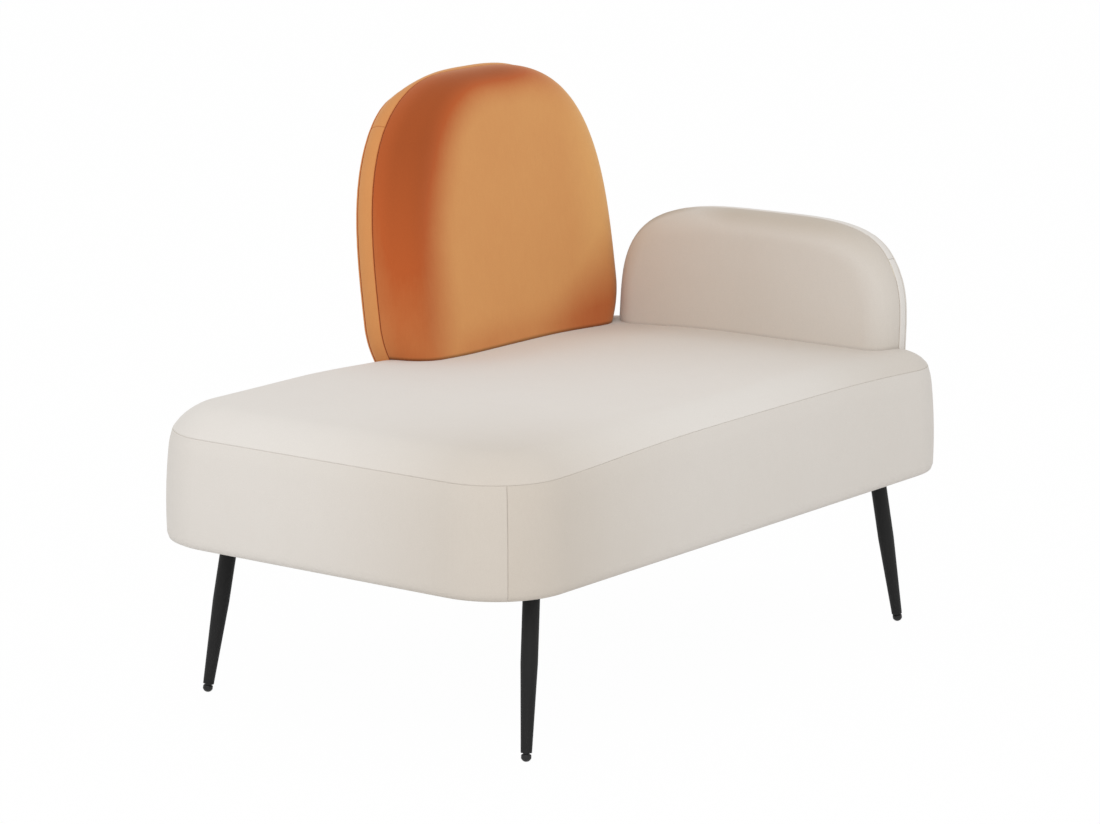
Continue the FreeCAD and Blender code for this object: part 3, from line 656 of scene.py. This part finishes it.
def blown(name, grids, row_at, column_at, held, cap):
    """Fine grids moved as their coarse copies swell, with no point moved further than cap."""
    rows = [thinned(at, coarse_gap) for at in row_at]
    columns = [thinned(at, coarse_gap) for at in column_at]
    coarse = [(grid[r][:, c], flip) for (grid, flip), r, c in zip(grids, rows, columns)]
    pins = [mask[r][:, c] for mask, r, c in zip(held, rows, columns)]
    drift = swollen(name, coarse, pins)
    scale = min(1.0, cap / max(np.linalg.norm(step, axis=2).max() for step in drift))
    result = []
    for (grid, flip), step, r, c, ra, ca in zip(grids, drift, rows, columns, row_at, column_at):
        down = hermite(calmed(step), ra[r], ra)
        over = hermite(down.transpose(1, 0, 2), ca[c], ca).transpose(1, 0, 2)
        result.append(grid + scale * over)
    return result


# %% [markdown]
# ## An arched panel
# The outline has drawn-in sides below a superellipse arch. Its parameter runs from -1 at
# the left foot to 0 where the arch springs, over the top to pi, and to pi + 1 at the right
# foot. The profile goes from the flat middle of the face, round its soft edge to the seam,
# across the band to the second seam, and round the rear. Each stretch between seams is its
# own piece of velvet, as on the real cushion.

# %% Outline of a panel
def arch(panel, t, inset):
    """Points (across, up) of the outline drawn in by inset.

    Above the springing: half width times |cos| ** (2 / exponent), rise times sin ** (2 / exponent).
    Below it the side draws in with the square of the distance below the springing.
    """
    half = panel.half_width - inset
    rise = panel.height - inset - panel.springing
    share = np.clip(np.maximum(-t, t - np.pi), 0, 1)
    angle = np.pi - np.clip(t, 0, np.pi)
    side = np.where(angle > np.pi / 2, -1.0, 1.0)
    power = 2 / panel.exponent
    across = side * (half * np.abs(np.cos(angle)) ** power - panel.draw_in * share ** 2)
    above = panel.springing + rise * np.clip(np.sin(angle), 0, 1) ** power
    return packed(across, above - (panel.springing + panel_foot) * share)


def crown(share, exponent):
    """Rise of a superellipse quarter: (1 - (1 - share) ** e) ** (1 / e)."""
    return (1 - (1 - np.clip(share, 0, 1)) ** exponent) ** (1 / exponent)


flat_margin = 45 * MM
face_roundness, rear_roundness = 2.2, 2.0


def panel_profile(panel):
    """Stations, inset and depth along the profile, and the stations of the two seams."""
    ease = np.linspace(0, 1, 120) ** 1.6
    flat = packed(np.linspace(panel.face_round + flat_margin, panel.face_round, 12)[:-1],
                  -panel.face_crown)
    face = packed(panel.face_round * ease, -panel.face_crown * crown(ease, face_roundness))[::-1]
    share = np.linspace(0, 1, 40)[1:-1]
    band = packed(-panel.band_swell * (1 - (2 * share - 1) ** 2), panel.band_depth * share)
    rear = packed(panel.rear_round * ease,
                  panel.band_depth + panel.rear_crown * crown(ease, rear_roundness))
    path = np.concatenate([flat, face, band, rear])
    run = lengths(path)
    band_start = len(flat) + len(face)
    seams = np.round([run[band_start - 1], run[band_start + len(band)]], 8)
    at = stations(run[-1], 5 * MM, seams)
    return at, *resampled(path, at).T, seams


def outline_stations(panel):
    """Stations along the outline, the same from both feet, their parameters and the band joins."""
    dense = np.linspace(-1, np.pi + 1, 6000)
    run = lengths(arch(panel, dense, 0.0))
    join = float(np.interp(panel.band_joins, dense, run))
    half = stations(run[-1] / 2, 9 * MM, [join])
    at = np.concatenate([half, (run[-1] - half)[-2::-1]])
    return at, np.interp(at, run, dense), [join, run[-1] - join]


def shoulder_inset(panel, t, depth):
    """Extra inset where the sewn outline leaves the even arch: a bell in the parameter."""
    share = np.clip(depth / panel.band_depth, 0, 1)
    total = np.zeros((len(depth), len(t)))
    for middle, reach, front, rear in panel.shoulders:
        bell = np.exp(-((t - middle) / reach) ** 2)
        total = total + bell[None] * (front + (rear - front) * share)[:, None]
    return total


def rotated(points, angle, i, j):
    """Points turned by an angle in the plane of two axes, from axis i towards axis j."""
    c, s = math.cos(angle), math.sin(angle)
    made = points.copy()
    made[..., i] = points[..., i] * c - points[..., j] * s
    made[..., j] = points[..., i] * s + points[..., j] * c
    return made


def to_place(panel, points):
    """Panel axes to the frame: leaned back about X, turned about Z, set on the base point."""
    return rotated(rotated(points, panel.lean, 2, 1), panel.turn, 0, 1) + panel.base


# %% Where the panels press on the seat
press_reach = 0.12
press_by_back, press_by_arm, press_shared = 15 * MM, 13 * MM, 6 * MM
contact_reach = 20 * MM


def pressed(x, y):
    """How far the top is pushed down beside the panels, from the block's middle, in metres."""
    ahead_of_back = np.clip(BACK.place[1] - BACK.face_crown - y, 0, None)
    by_back = np.exp(-(ahead_of_back / press_reach) ** 2) * smoothstep(-0.28, 0.10, x)
    ahead_of_arm = np.clip(ARM.place[0] - ARM.face_crown - x, 0, None)
    by_arm = np.exp(-(ahead_of_arm / press_reach) ** 2) * smoothstep(-0.36, -0.26, y)
    return press_by_back * by_back + press_by_arm * by_arm - press_shared * by_back * by_arm


# Mask for the painted shadow line where a panel's face meets the seat.
def closeness(points):
    """How close points of a panel's face are to the seat: 20 mm on it, 0 from 20 mm above it."""
    flat = points[..., :2] - BLOCK_MIDDLE[:2]
    level = seam_height + crown_height - pressed(flat[..., 0], flat[..., 1])
    return np.clip(contact_reach - (points[..., 2] - level), 0, None)


# %% Rings and patches of a panel
side_run = 170 * MM


def closed_up(patch, south, east, north, west, column_at, row_at):
    """The patch moved so that its sides lie exactly on the four given lines."""
    gaps = (south - patch[0], east - patch[:, -1], north - patch[-1], west - patch[:, 0])
    return patch + quilt(*gaps, column_at, row_at)


rng = np.random.default_rng(7)


def puckers(at, from_seam, height, pitch, reach):
    """Small gathers beside a seam: a sum of sines along it that fades with the distance."""
    wave = np.zeros(len(at))
    for scale in (0.8, 1.0, 1.37):
        wave += np.sin(2 * np.pi * at / (pitch * scale) + rng.uniform(0, 2 * np.pi)) / 3
    return height * wave[None] * np.exp(-(from_seam / reach) ** 2)[:, None]


def panel_rings(panel):
    """The rings in panel axes with the seams' dents, the stations both ways and the seams."""
    at, inset, depth, seams = panel_profile(panel)
    column_at, t, joins = outline_stations(panel)
    from_seam = nearest(at, seams)
    on_band = (at >= seams[0]) & (at <= seams[1])
    join_dent = on_band[:, None] * seam_dent(nearest(column_at, joins))[None]
    dent = np.maximum(seam_dent(from_seam)[:, None], join_dent)
    dent = dent + puckers(column_at, from_seam, height=0.25 * MM, pitch=23 * MM, reach=9 * MM)
    outline = arch(panel, t[None], inset[:, None] + dent + shoulder_inset(panel, t, depth))
    rings = packed(outline[..., 0], depth[:, None], outline[..., 1])
    return rings, at, column_at, seams


def ring_patch(ring, column_at):
    """The patch inside a ring, and its stations both ways."""
    k = int(np.argmin(np.abs(column_at - side_run)))
    n = len(column_at)
    west, north, east = ring[:k + 1], ring[k:n - k], ring[n - 1 - k:][::-1]
    share = ((column_at[k:n - k] - column_at[k]) / (column_at[n - 1 - k] - column_at[k]))[:, None]
    south = ring[0] * (1 - share) + ring[-1] * share
    return quilt(south, east, north, west), column_at[:k + 1], column_at[k:n - k] - column_at[k]


def patch_to_ring(patch, ring, rows, columns):
    """The patch brought exactly onto the ring, with its open lower side following its ends."""
    k, n = len(rows) - 1, len(ring)
    share = (columns / columns[-1])[:, None]
    foot = patch[0] + (ring[0] - patch[0, 0]) * (1 - share) + (ring[-1] - patch[0, -1]) * share
    return closed_up(patch, foot, ring[n - 1 - k:][::-1], ring[k:n - k], ring[:k + 1], columns, rows)


def turned_edge(panel, ring, shift):
    """One more ring, drawn in by the seam allowance and shifted back or forward a little."""
    middle = np.array([0, 0, panel.springing + 0.4 * (panel.height - panel.springing)])
    inner = ring + turned_in * unit((middle - ring) * [1, 0, 1])
    inner[:, 1] += shift
    return inner[None]


# %% Covers of a panel
edge_gap = 0.08 * MM


def panel_covers(name, panel, material, nap_rule, cap):
    """Face, band and rear covers of a panel as three pieces, and the two seam lines."""
    rings, at, column_at, seams = panel_rings(panel)
    first, second = (int(np.argmin(np.abs(at - seam))) for seam in seams)
    face, face_at = rings[:first + 1], at[:first + 1]
    patch, patch_rows, patch_columns = ring_patch(rings[0], column_at)
    rear_patch = ring_patch(rings[-1], column_at)[0]
    low = panel.springing * 0.4
    at_seam = (face_at > at[first] - pinned_width)[:, None]
    face, patch = blown(name + " cloth", [(face, False), (patch, False)], [face_at, patch_rows],
                        [column_at, patch_columns],
                        [at_seam | (face[..., 2] < low), patch[..., 2] < low], cap)
    patch = patch_to_ring(patch, face[0], patch_rows, patch_columns)
    pieces = {}
    for key, rows, flat in (("face", face, [(patch, False)]), ("band", rings[first:second + 1], []),
                            ("rear", rings[second:], [(rear_patch, True)])):
        before = [] if key == "face" else [turned_edge(panel, rows[0], edge_gap)]
        after = [] if key == "rear" else [turned_edge(panel, rows[-1], -edge_gap)]
        grids = [(np.concatenate([*before, rows, *after]), False), *flat]
        # Painted shade for each grid, by the panel's own rule.
        nap = [nap_rule(key, grid) for grid, flip in grids]
        run = lengths(grids[0][0][:, len(column_at) // 2])
        marks = [turned_in] * len(before) + [run[-1] - turned_in] * len(after)
        # A darker line along each seam: parted pile and painted shade of the groove.
        seam_nap = panel.parting * parted(nearest(run, marks), panel.parting_reach)
        nap[0] = np.maximum(nap[0], seam_nap[:, None])
        placed = [(to_place(panel, grid), flip) for grid, flip in grids]
        # The face's mask for its painted shadow line at the seat.
        sunk = [closeness(points) for points, flip in placed] if key == "face" else None
        pieces[key] = mesh_object(f"{name}_{key}_velvet", placed, material, nap, sunk=sunk)
    return pieces, [to_place(panel, rings[row]) for row in (first, second)]


def around_face(panel, grid, centre_height):
    """Distance from the seam over the round edge, the bearing, and the place across and up.

    The bearing is 0 left, 90 up and 180 right, as seen from the front.
    """
    across, up = grid[..., 0], grid[..., 2]
    half = panel.half_width
    rise = panel.height - panel.springing
    over = np.clip(up - panel.springing, 0, None) / rise
    reach = (np.abs(across / half) ** panel.exponent + over ** panel.exponent) ** (1 / panel.exponent)
    sideways = (across / half) ** 2 + 0.0001
    size = (half * sideways + rise * over ** 2) / (sideways + over ** 2)
    bearing = np.degrees(np.arctan2(up - centre_height, -across)) % 360
    bearing = np.where(bearing > 270, 0, bearing)
    return np.clip(1 - reach, 0, 1) * size + np.clip(-grid[..., 1], 0, None), bearing, across, up


# %% Painted shade of the orange back
def back_nap(key, grid):
    """Painted shade: darker round the left and top edge and low down towards the arm, where the arm's shadow
    falls, lighter at the right edge as a painted sheen; band and rear a middle shade, darker low down.
    """
    run, bearing, across, up = around_face(BACK, grid, 0.2)
    if key != "face":
        return 0.42 + 0.12 * smoothstep(0.12, -0.02, up)
    base = 0.3 - 0.3 * smoothstep(0.13, 0.27, across)
    topward = smoothstep(15, 85, bearing)
    near, far = (95 - 50 * topward) * MM, (205 - 75 * topward) * MM
    edge = (0.8 + 0.2 * smoothstep(0, 45 * MM, run)) * (1 - smoothstep(near, far, run))
    edge = edge * (1 - smoothstep(95, 150, bearing))
    strength = 0.78 + 1.45 * np.clip(up, 0, 0.34)
    reach = 40 * MM + 125 * MM * np.clip(across / 0.27, 0, 1.2) ** 2
    foot = (0.22 + 0.62 * smoothstep(0.0, 0.27, across)) * smoothstep(-0.28, -0.1, across)
    foot = foot * np.clip(1.2 - up / reach, 0, 1) ** 1.2
    return np.clip(np.maximum(base + (strength - base) * edge, base + foot), 0, 1.35)


# %% Painted shade of the cream arm
def arm_nap(key, grid):
    """Painted shade on the arm's face: a middle shade all over, darker along its top, and darkest beside the
    backrest, whose shadow falls there.
    """
    run, bearing, across, up = around_face(ARM, grid, 0.05)
    if key != "face":
        return 0 * up
    beside = 1.8 * smoothstep(70 * MM, 0, run) * (1 - smoothstep(15, 70, bearing))
    top = 0.70 * smoothstep(125 * MM, 30 * MM, run) * smoothstep(20, 75, bearing)
    top = top * (1 - 0.5 * smoothstep(125, 175, bearing))
    middle = 0.40 - 0.06 * smoothstep(0.0, 0.22, across)
    return np.clip(np.maximum(np.maximum(beside, top), middle), 0, 1.7)


back_covers, back_lines = panel_covers("back", BACK, orange_velvet, back_nap, cap=2.4 * MM)
arm_covers, arm_lines = panel_covers("arm", ARM, cream_velvet, arm_nap, cap=1.6 * MM)

# %% [markdown]
# ## Seat cover
# The block's cover has a crowned top panel and a band of four lengths, joined at the corners
# and to the top by plain seams. The top seam isn't level: the long sides lift it in the
# middle. The top is pressed down where the two panels stand on it. A rounded rectangle drawn
# in by an inset is a smaller rectangle grown by a disc, so every ring has the same centres
# and directions and only the disc's radius changes.

# %% Plan of the block
def rounded_sides(half, radius, stations_for):
    """Stations, centre points and outward directions of a rounded rectangle's four sides.

    Each side runs from the middle of one corner to the middle of the next, and stations_for
    gives its stations from its length.
    """
    core = half - radius
    arc = math.pi / 4 * radius
    sides = []
    for middle in (-math.pi / 2, 0, math.pi / 2, math.pi):
        outward = np.array([round(math.cos(middle)), round(math.sin(middle))])
        along = np.array([-outward[1], outward[0]])
        reach = abs(along @ core)
        at = stations_for(2 * arc + 2 * reach)
        slide = np.clip(at - arc - reach, -reach, reach)
        centres = (np.abs(outward) @ core) * outward[None] + slide[:, None] * along[None]
        angle = middle + (at - arc - reach - slide) / radius
        sides.append((at, centres, packed(np.cos(angle), np.sin(angle))))
    return sides


def seat_stations(total):
    """Stations along one side of the block, closer at its two corner seams."""
    return stations(total, 10 * MM, (0, total))


def seam_wave(x):
    """How far the top seam leaves its plain level: a flat-topped rise in the long sides' middle."""
    return -3 * MM + 12 * MM * np.exp(-((x - 60 * MM) / (420 * MM)) ** 4)


def seat_profile():
    """Stations, inset, height, share of the seam's wave, and the station of the seam."""
    share = np.linspace(1, 0, 60)
    rise = 1 - (1 - share) ** 2
    top = packed(seam_draw_in + crown_width * share, seam_height + crown_height * rise, 1 - rise)
    foot = underside + underside_round
    share = np.linspace(1, 0, 40)[1:]
    swell = side_swell * (1 - (2 * share - 1) ** 2)
    side = packed(seam_draw_in * share - swell, foot + (seam_height - foot) * share, share)
    angle = np.linspace(math.pi / 2, 0, 14)[1:]
    under = packed(underside_round * (1 - np.sin(angle)),
                   underside + underside_round * (1 - np.cos(angle)), 0)
    path = np.concatenate([top, side, under, [[underside_round + hem_width, underside, 0]]])
    run = lengths(path[:, :2])
    seam = round(run[len(top) - 1], 8)
    at = stations(run[-1], 8 * MM, (seam,))
    return at, *(np.interp(at, run, path[:, axis]) for axis in range(3)), seam


# %% Seat pieces
pull_depth = 2.6 * MM
pull_reach = 13 * MM
dent_strength = 0.7
dent_direction = np.array([0.88, 0.47])


def seat_rings():
    """Ring grids of the four sides from the crown's inner edge to the hem, and their stations."""
    at, inset, height, wave_share, seam = seat_profile()
    from_seam = np.abs(at - seam)
    crowned = (np.clip(1 - wave_share, 0, 1) * (at < seam))[:, None]
    above_hem = (height > underside + 1 * MM)[:, None]
    pull = pull_depth * np.exp(-(from_seam / pull_reach) ** 2)[:, None]
    rings, columns = [], []
    for column_at, centre, direction in rounded_sides(block_half, corner_radius, seat_stations):
        corner_dent = (at > seam)[:, None] * seam_dent(nearest(column_at, (0, column_at[-1])))[None]
        dent = np.maximum(seam_dent(from_seam)[:, None], corner_dent)
        gathers = puckers(column_at, from_seam, height=0.22 * MM, pitch=27 * MM, reach=10 * MM)
        dent = dent_strength * dent + gathers
        drawn = inset[:, None] + pull + dent * dent_direction[0]
        flat = centre[None] + (corner_radius - drawn)[..., None] * direction[None]
        up = height[:, None] + wave_share[:, None] * seam_wave(flat[..., 0])
        up = up - dent * dent_direction[1] * above_hem
        up = up - crowned * pressed(flat[..., 0], flat[..., 1])
        rings.append(np.concatenate([flat, up[..., None]], -1))
        columns.append(column_at)
    return rings, at, columns, seam


def by_corner(points, reach):
    """Bell curve of the distance in plan from the front left corner."""
    gap = np.hypot(points[..., 0] + block_half[0], points[..., 1] + block_half[1])
    return np.exp(-(gap / reach) ** 2)


def top_nap(points):
    """Painted shade on the seat's top: darker at the front left corner and a little beside the arm, where
    its shadow falls.
    """
    ahead = np.clip(ARM.place[0] - ARM.face_crown - points[..., 0], 0, None)
    return 0.04 + 0.48 * by_corner(points, 0.26) + 0.3 * np.exp(-(ahead / 0.25) ** 2)


def seat_covers():
    """The top panel, the four band lengths and the seam lines of the seat's cover."""
    rings, at, columns, seam = seat_rings()
    split = int(np.argmin(np.abs(at - seam)))
    south, east, north, west = (ring[0] for ring in rings)
    patch = quilt(south, east, north[::-1], west[::-1])
    patch[..., 2] = seam_height + crown_height - pressed(patch[..., 0], patch[..., 1])
    grids = [(ring[:split + 1], True) for ring in rings] + [(patch, False)]
    rows = [at[:split + 1]] * 4 + [lengths(west[::-1])]
    across = [*columns, lengths(south)]
    held = []
    for grid, flip in grids:
        x, y = grid[..., 0], grid[..., 1]
        under_back = (y > BACK.place[1] - 75 * MM) & (np.abs(x - BACK.place[0]) < 0.3)
        under_arm = (x > ARM.place[0] - 60 * MM) & (np.abs(y - ARM.place[1]) < 0.28)
        held.append(under_back | under_arm)
    for side in range(4):
        held[side] = held[side] | (at[:split + 1] > seam - pinned_width)[:, None]
    grown = blown("seat cloth", grids, rows, across, held, cap=2.5 * MM)
    for side in range(4):
        grown[side][:, -1] = grown[(side + 1) % 4][:, 0]
    south, east, north, west = (ring[0] for ring in grown[:4])
    grown[4] = closed_up(grown[4], south, east, north[::-1], west[::-1], across[4], rows[4])

    def allowance(ring, shift):
        """The turned-in edge: the ring moved towards the block's middle and a little down."""
        inward = -ring
        inward[..., :2] = unit(inward[..., :2])
        inward[..., 2] = -0.3
        moved = ring + turned_in * inward
        moved[..., 2] += shift
        return moved

    move = np.array([BLOCK_MIDDLE[0], BLOCK_MIDDLE[1], 0])
    top_grids = [(np.concatenate([ring, allowance(ring[-1:], 0.1 * MM)]) + move, True) for ring in grown[:4]]
    top_grids.append((grown[4] + move, False))
    top = mesh_object("seat_top_velvet", top_grids, cream_velvet, [top_nap(g - move) for g, f in top_grids])
    bands = []
    # Each band length has its own painted shade, by how its side faces the light, and more near the front
    # left corner.
    for name, ring, laid in zip(("front", "right", "rear", "left"), rings, (0.18, 0.2, 0.2, 0.12)):
        band = np.concatenate([allowance(ring[split:split + 1], -0.1 * MM), ring[split:]])
        left, right = (allowance(band[:, edge:edge + 1], 0) for edge in (0, -1))
        left[..., 2], right[..., 2] = band[:, :1, 2], band[:, -1:, 2]
        band = np.concatenate([left, band, right], axis=1) + move
        bands.append(mesh_object(f"seat_{name}_band_velvet", [(band, True)], cream_velvet,
                                 [laid + 0.42 * by_corner(band - move, 0.28)]))
    top_line = np.concatenate([ring[split] for ring in rings]) + move
    corner_lines = [ring[split:, 0] + move for ring in rings]
    return top, bands, top_line, corner_lines


seat_top, seat_bands, top_line, corner_lines = seat_covers()

# %% [markdown]
# ## Stitches
# A plain seam shows its thread only in the bottom of the groove, as small bars that cross
# from edge to edge. One bar is a short tube of a few faces, and all bars of a seam are one
# array: each is turned to its place on the seam and set a little below the cloth.

# %% Bars of thread along a line
stitch_pitch = 2.8 * MM
stitch_length = 1.9 * MM
thread_radius = 0.26 * MM
stitch_sunk = 0.75 * MM


def stitches(name, lines, inward, material):
    """Thread bars across seams: lines are the seam lines, inward says which way is inside."""
    ring = np.array([0, 1, 2, 3, 4]) * 2 * np.pi / 5
    along_bar = (np.array([-0.5, -0.38, 0.38, 0.5]) * stitch_length)[:, None]
    girth = (np.array([0.35, 1, 1, 0.35]) * thread_radius)[:, None]
    bar = packed(along_bar, girth * np.cos(ring), girth * np.sin(ring)).reshape(-1, 3)
    own = [(a + b, a + (b + 1) % 5, a + 5 + (b + 1) % 5, a + 5 + b) for a in (0, 5, 10) for b in range(5)]
    caps = [(4, 3, 2, 1, 0), (15, 16, 17, 18, 19)]
    everything, faces, start = [], [], 0
    for line in lines:
        run = lengths(line)
        at = np.arange(stitch_pitch, run[-1] - stitch_pitch, stitch_pitch)
        at = at + rng.uniform(-0.15, 0.15, len(at)) * MM
        place = resampled(line, at)
        tangent = unit(resampled(line, at + 0.5 * MM) - resampled(line, at - 0.5 * MM))
        inside = inward(place)
        inside = unit(inside - (inside * tangent).sum(1, keepdims=True) * tangent)
        cross = np.cross(inside, tangent)
        cross = cross + rng.uniform(-0.12, 0.12, (len(at), 1)) * tangent
        points = (place - stitch_sunk * inside)[:, None]
        for axis, direction in enumerate((cross, tangent, inside)):
            points = points + bar[None, :, axis, None] * direction[:, None]
        everything.append(points.reshape(-1, 3))
        shift = start + len(bar) * np.arange(len(at))[:, None, None]
        faces += (np.array(own)[None] + shift).reshape(-1, 4).tolist()
        faces += (np.array(caps)[None] + shift).reshape(-1, 5).tolist()
        start += len(bar) * len(at)
    return new_piece(name, np.concatenate(everything), faces, material)


def towards_block(points):
    """Direction from points on the block's side to its inside."""
    inside = np.array([BLOCK_MIDDLE[0], BLOCK_MIDDLE[1], 0.3]) - points
    inside[:, 2] = -0.3 * np.linalg.norm(inside[:, :2], axis=1)
    return inside


def towards_panel(panel):
    """Direction from points on the panel's seams to its inside, in the frame's axes."""
    middle = to_place(panel, np.array([0, 0.5 * panel.band_depth, 0.45 * panel.height]))
    normal = to_place(panel, np.array([0, 1.0, 0])) - to_place(panel, np.array([0, 0.0, 0]))

    def inward(points):
        step = middle - points
        return step - (step @ normal)[:, None] * normal
    return inward


seat_stitches = stitches("seat_stitches", [top_line, *corner_lines], towards_block, MATERIALS["thread"])
back_stitches = stitches("back_stitches", back_lines, towards_panel(BACK), MATERIALS["orange_thread"])
arm_stitches = stitches("arm_stitches", arm_lines, towards_panel(ARM), MATERIALS["thread"])

# %% [markdown]
# ## Foam
# Foam blocks are hidden, but they carry the covers, so they keep their true shapes. Each is
# a remeshed copy of its construction solid, smoothed as cut foam is, and drawn in by 2.5 to
# 7 mm so that it stays below the covers and their seams. The seat's foam is pressed down with
# its cover.

# %% Softened copies of the foam solids
def softened(name, node, voxel, drawn_in):
    """A foam piece: the solid remeshed evenly, smoothed, and drawn in along its normals."""
    mesh = NODES[node].data.copy()
    edit = bmesh.new()
    edit.from_mesh(mesh)
    bmesh.ops.remove_doubles(edit, verts=edit.verts, dist=0.01 * MM)
    edit.to_mesh(mesh)
    edit.free()
    piece = in_scene(name, mesh)
    remesh = piece.modifiers.new("even", "REMESH")
    remesh.mode = "VOXEL"
    remesh.voxel_size = voxel
    smooth = piece.modifiers.new("soft", "SMOOTH")
    smooth.factor = 0.5
    smooth.iterations = 3
    made = bpy.data.meshes.new_from_object(piece.evaluated_get(bpy.context.evaluated_depsgraph_get()))
    piece.modifiers.clear()
    piece.data = made
    bpy.data.meshes.remove(mesh)
    count = len(made.vertices)
    points, normals = np.empty(count * 3), np.empty(count * 3)
    made.vertices.foreach_get("co", points)
    made.vertices.foreach_get("normal", normals)
    points = points.reshape(-1, 3) - drawn_in * normals.reshape(-1, 3)
    if node == "seat_foam":
        share = smoothstep(seam_height - 60 * MM, seam_height + 30 * MM, points[:, 2])
        points[:, 2] -= share * pressed(points[:, 0] - BLOCK_MIDDLE[0], points[:, 1] - BLOCK_MIDDLE[1])
    made.vertices.foreach_set("co", points.reshape(-1))
    made.polygons.foreach_set("use_smooth", np.ones(len(made.polygons), bool))
    made.materials.clear()
    made.materials.append(MATERIALS["foam"])
    return piece


# Solid, name, voxel size and depth drawn in, both in millimetres
foams = {node: softened(name, node, voxel * MM, drawn_in * MM) for node, name, voxel, drawn_in in (
    ("seat_foam", "seat_foam_block", 8, 3),
    ("seat_side_foam", "seat_side_padding", 6, 2.5),
    ("back_foam_front", "back_front_foam", 6, 4.5),
    ("back_foam_rear", "back_rear_foam", 6, 7),
    ("arm_foam_front", "arm_front_foam", 6, 3),
    ("arm_foam_rear", "arm_rear_foam", 6, 3))}

# %% [markdown]
# ## Felt, webbing and dust cover
# Three flat things close the block from below. The felt lies on the elastic straps, the
# straps sag a little between the rails, and the dust cover is thin cloth tacked round the
# underside. A sheet here is a Coons patch inside its outline, and the dust cover has a few
# low waves.

# %% Sheets
def sheet_stations(total):
    """Even stations along one side of a sheet: more on a side longer than 0.8 metres."""
    return np.linspace(0, total, 72 if total > 0.8 else 44)


def rounded_sheet(name, node, radius, lowered, wave, thickness, material):
    """A cloth sheet with rounded corners, half its flat size and its area.

    It lies a little below the top of its solid and is raised by two crossed waves.
    """
    low, high = box_corners(node)
    half = (high - low)[:2] / 2
    south, east, north, west = (
        packed(*(centres + radius * directions).T, high[2] - lowered)
        for at, centres, directions in rounded_sides(half, radius, sheet_stations))
    patch = quilt(south, east, north[::-1], west[::-1])
    edge = np.minimum(half[0] - np.abs(patch[..., 0]), half[1] - np.abs(patch[..., 1]))
    ripple = np.sin(patch[..., 0] / 0.083) * np.sin(patch[..., 1] / 0.061 + 0.7)
    patch[..., 2] += wave * ripple * smoothstep(5 * MM, 60 * MM, edge)
    patch[..., :2] += BLOCK_MIDDLE[:2]
    area = float(4 * half[0] * half[1] - (4 - math.pi) * radius ** 2)
    return mesh_object(name, [(patch, False)], material, thickness=thickness), half, area


felt, felt_half, felt_area = rounded_sheet(
    "felt_sheet", "seat_felt", radius=98 * MM, lowered=0.1 * MM, wave=0.0, thickness=1.8 * MM,
    material=MATERIALS["felt"])
dust_cover, dust_half, dust_area = rounded_sheet(
    "underside_dust_cloth", "seat_dust_cover", radius=corner_radius - underside_round - hem_width,
    lowered=0.3 * MM, wave=0.25 * MM, thickness=0.6 * MM, material=MATERIALS["dust_cloth"])

# %% Straps
strap_pitch = 125 * MM
strap_width = 50 * MM
strap_count = 8
strap_sag = 1.2 * MM


def straps():
    """Webbing: flat bands across the block, sagging a little, with rounded selvedges."""
    low, high = box_corners("seat_webbing")
    first = BACK.place[0] + BLOCK_MIDDLE[0] + 1.5 * strap_pitch
    middle = (low + high) / 2
    along = np.linspace(low[1] + 2 * MM, high[1] - 2 * MM, 60)
    around = np.linspace(0, 2 * np.pi, 21)
    half_thick = (high[2] - low[2]) / 2 - 0.15 * MM
    side = np.sign(np.cos(around)) * np.abs(np.cos(around)) ** 0.25 * strap_width / 2
    face = np.sign(np.sin(around)) * np.abs(np.sin(around)) ** 0.6 * half_thick
    grids = []
    for number in range(strap_count):
        x = first - strap_pitch * number
        if not low[0] < x < high[0]:
            continue
        trimmed = 12 * MM if abs(x - middle[0]) > 0.46 else 0
        run = np.clip(along, low[1] + trimmed, high[1] - trimmed)
        sag = strap_sag * np.cos(np.pi * (run - middle[1]) / (high[1] - low[1])) ** 2
        tube = packed(x + side[:, None], run, middle[2] + face[:, None] - sag)
        grids.append((tube, False))
        for end in (0, -1):
            rim = tube[:, end]
            grids.append((np.stack([rim[:11], rim[20:9:-1]]), end == 0))
    return mesh_object("elastic_webbing", grids, MATERIALS["webbing"], thickness=0)


webbing = straps()

# %% [markdown]
# ## What each piece stands for
# Every new piece rides on the body of the chaise and hides the construction solid that it
# stands for.

# %% Declarations
def declare(piece, nodes=()):
    """Rides on the body and hides the construction solids that it replaces."""
    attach(piece, "body")
    if nodes:
        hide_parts(*nodes)


for key in ("face", "band", "rear"):
    declare(back_covers[key], [f"back_cover_{key}"])
    declare(arm_covers[key], [f"arm_cover_{key}"])
declare(seat_top, ["seat_cover_top"])
for band in seat_bands:
    declare(band, ["seat_cover_band"])
for piece in (seat_stitches, arm_stitches):
    declare(piece)
declare(back_stitches)
for node, piece in foams.items():
    declare(piece, [node])
declare(felt, ["seat_felt"])
declare(dust_cover, ["seat_dust_cover"])
declare(webbing, ["seat_webbing"])
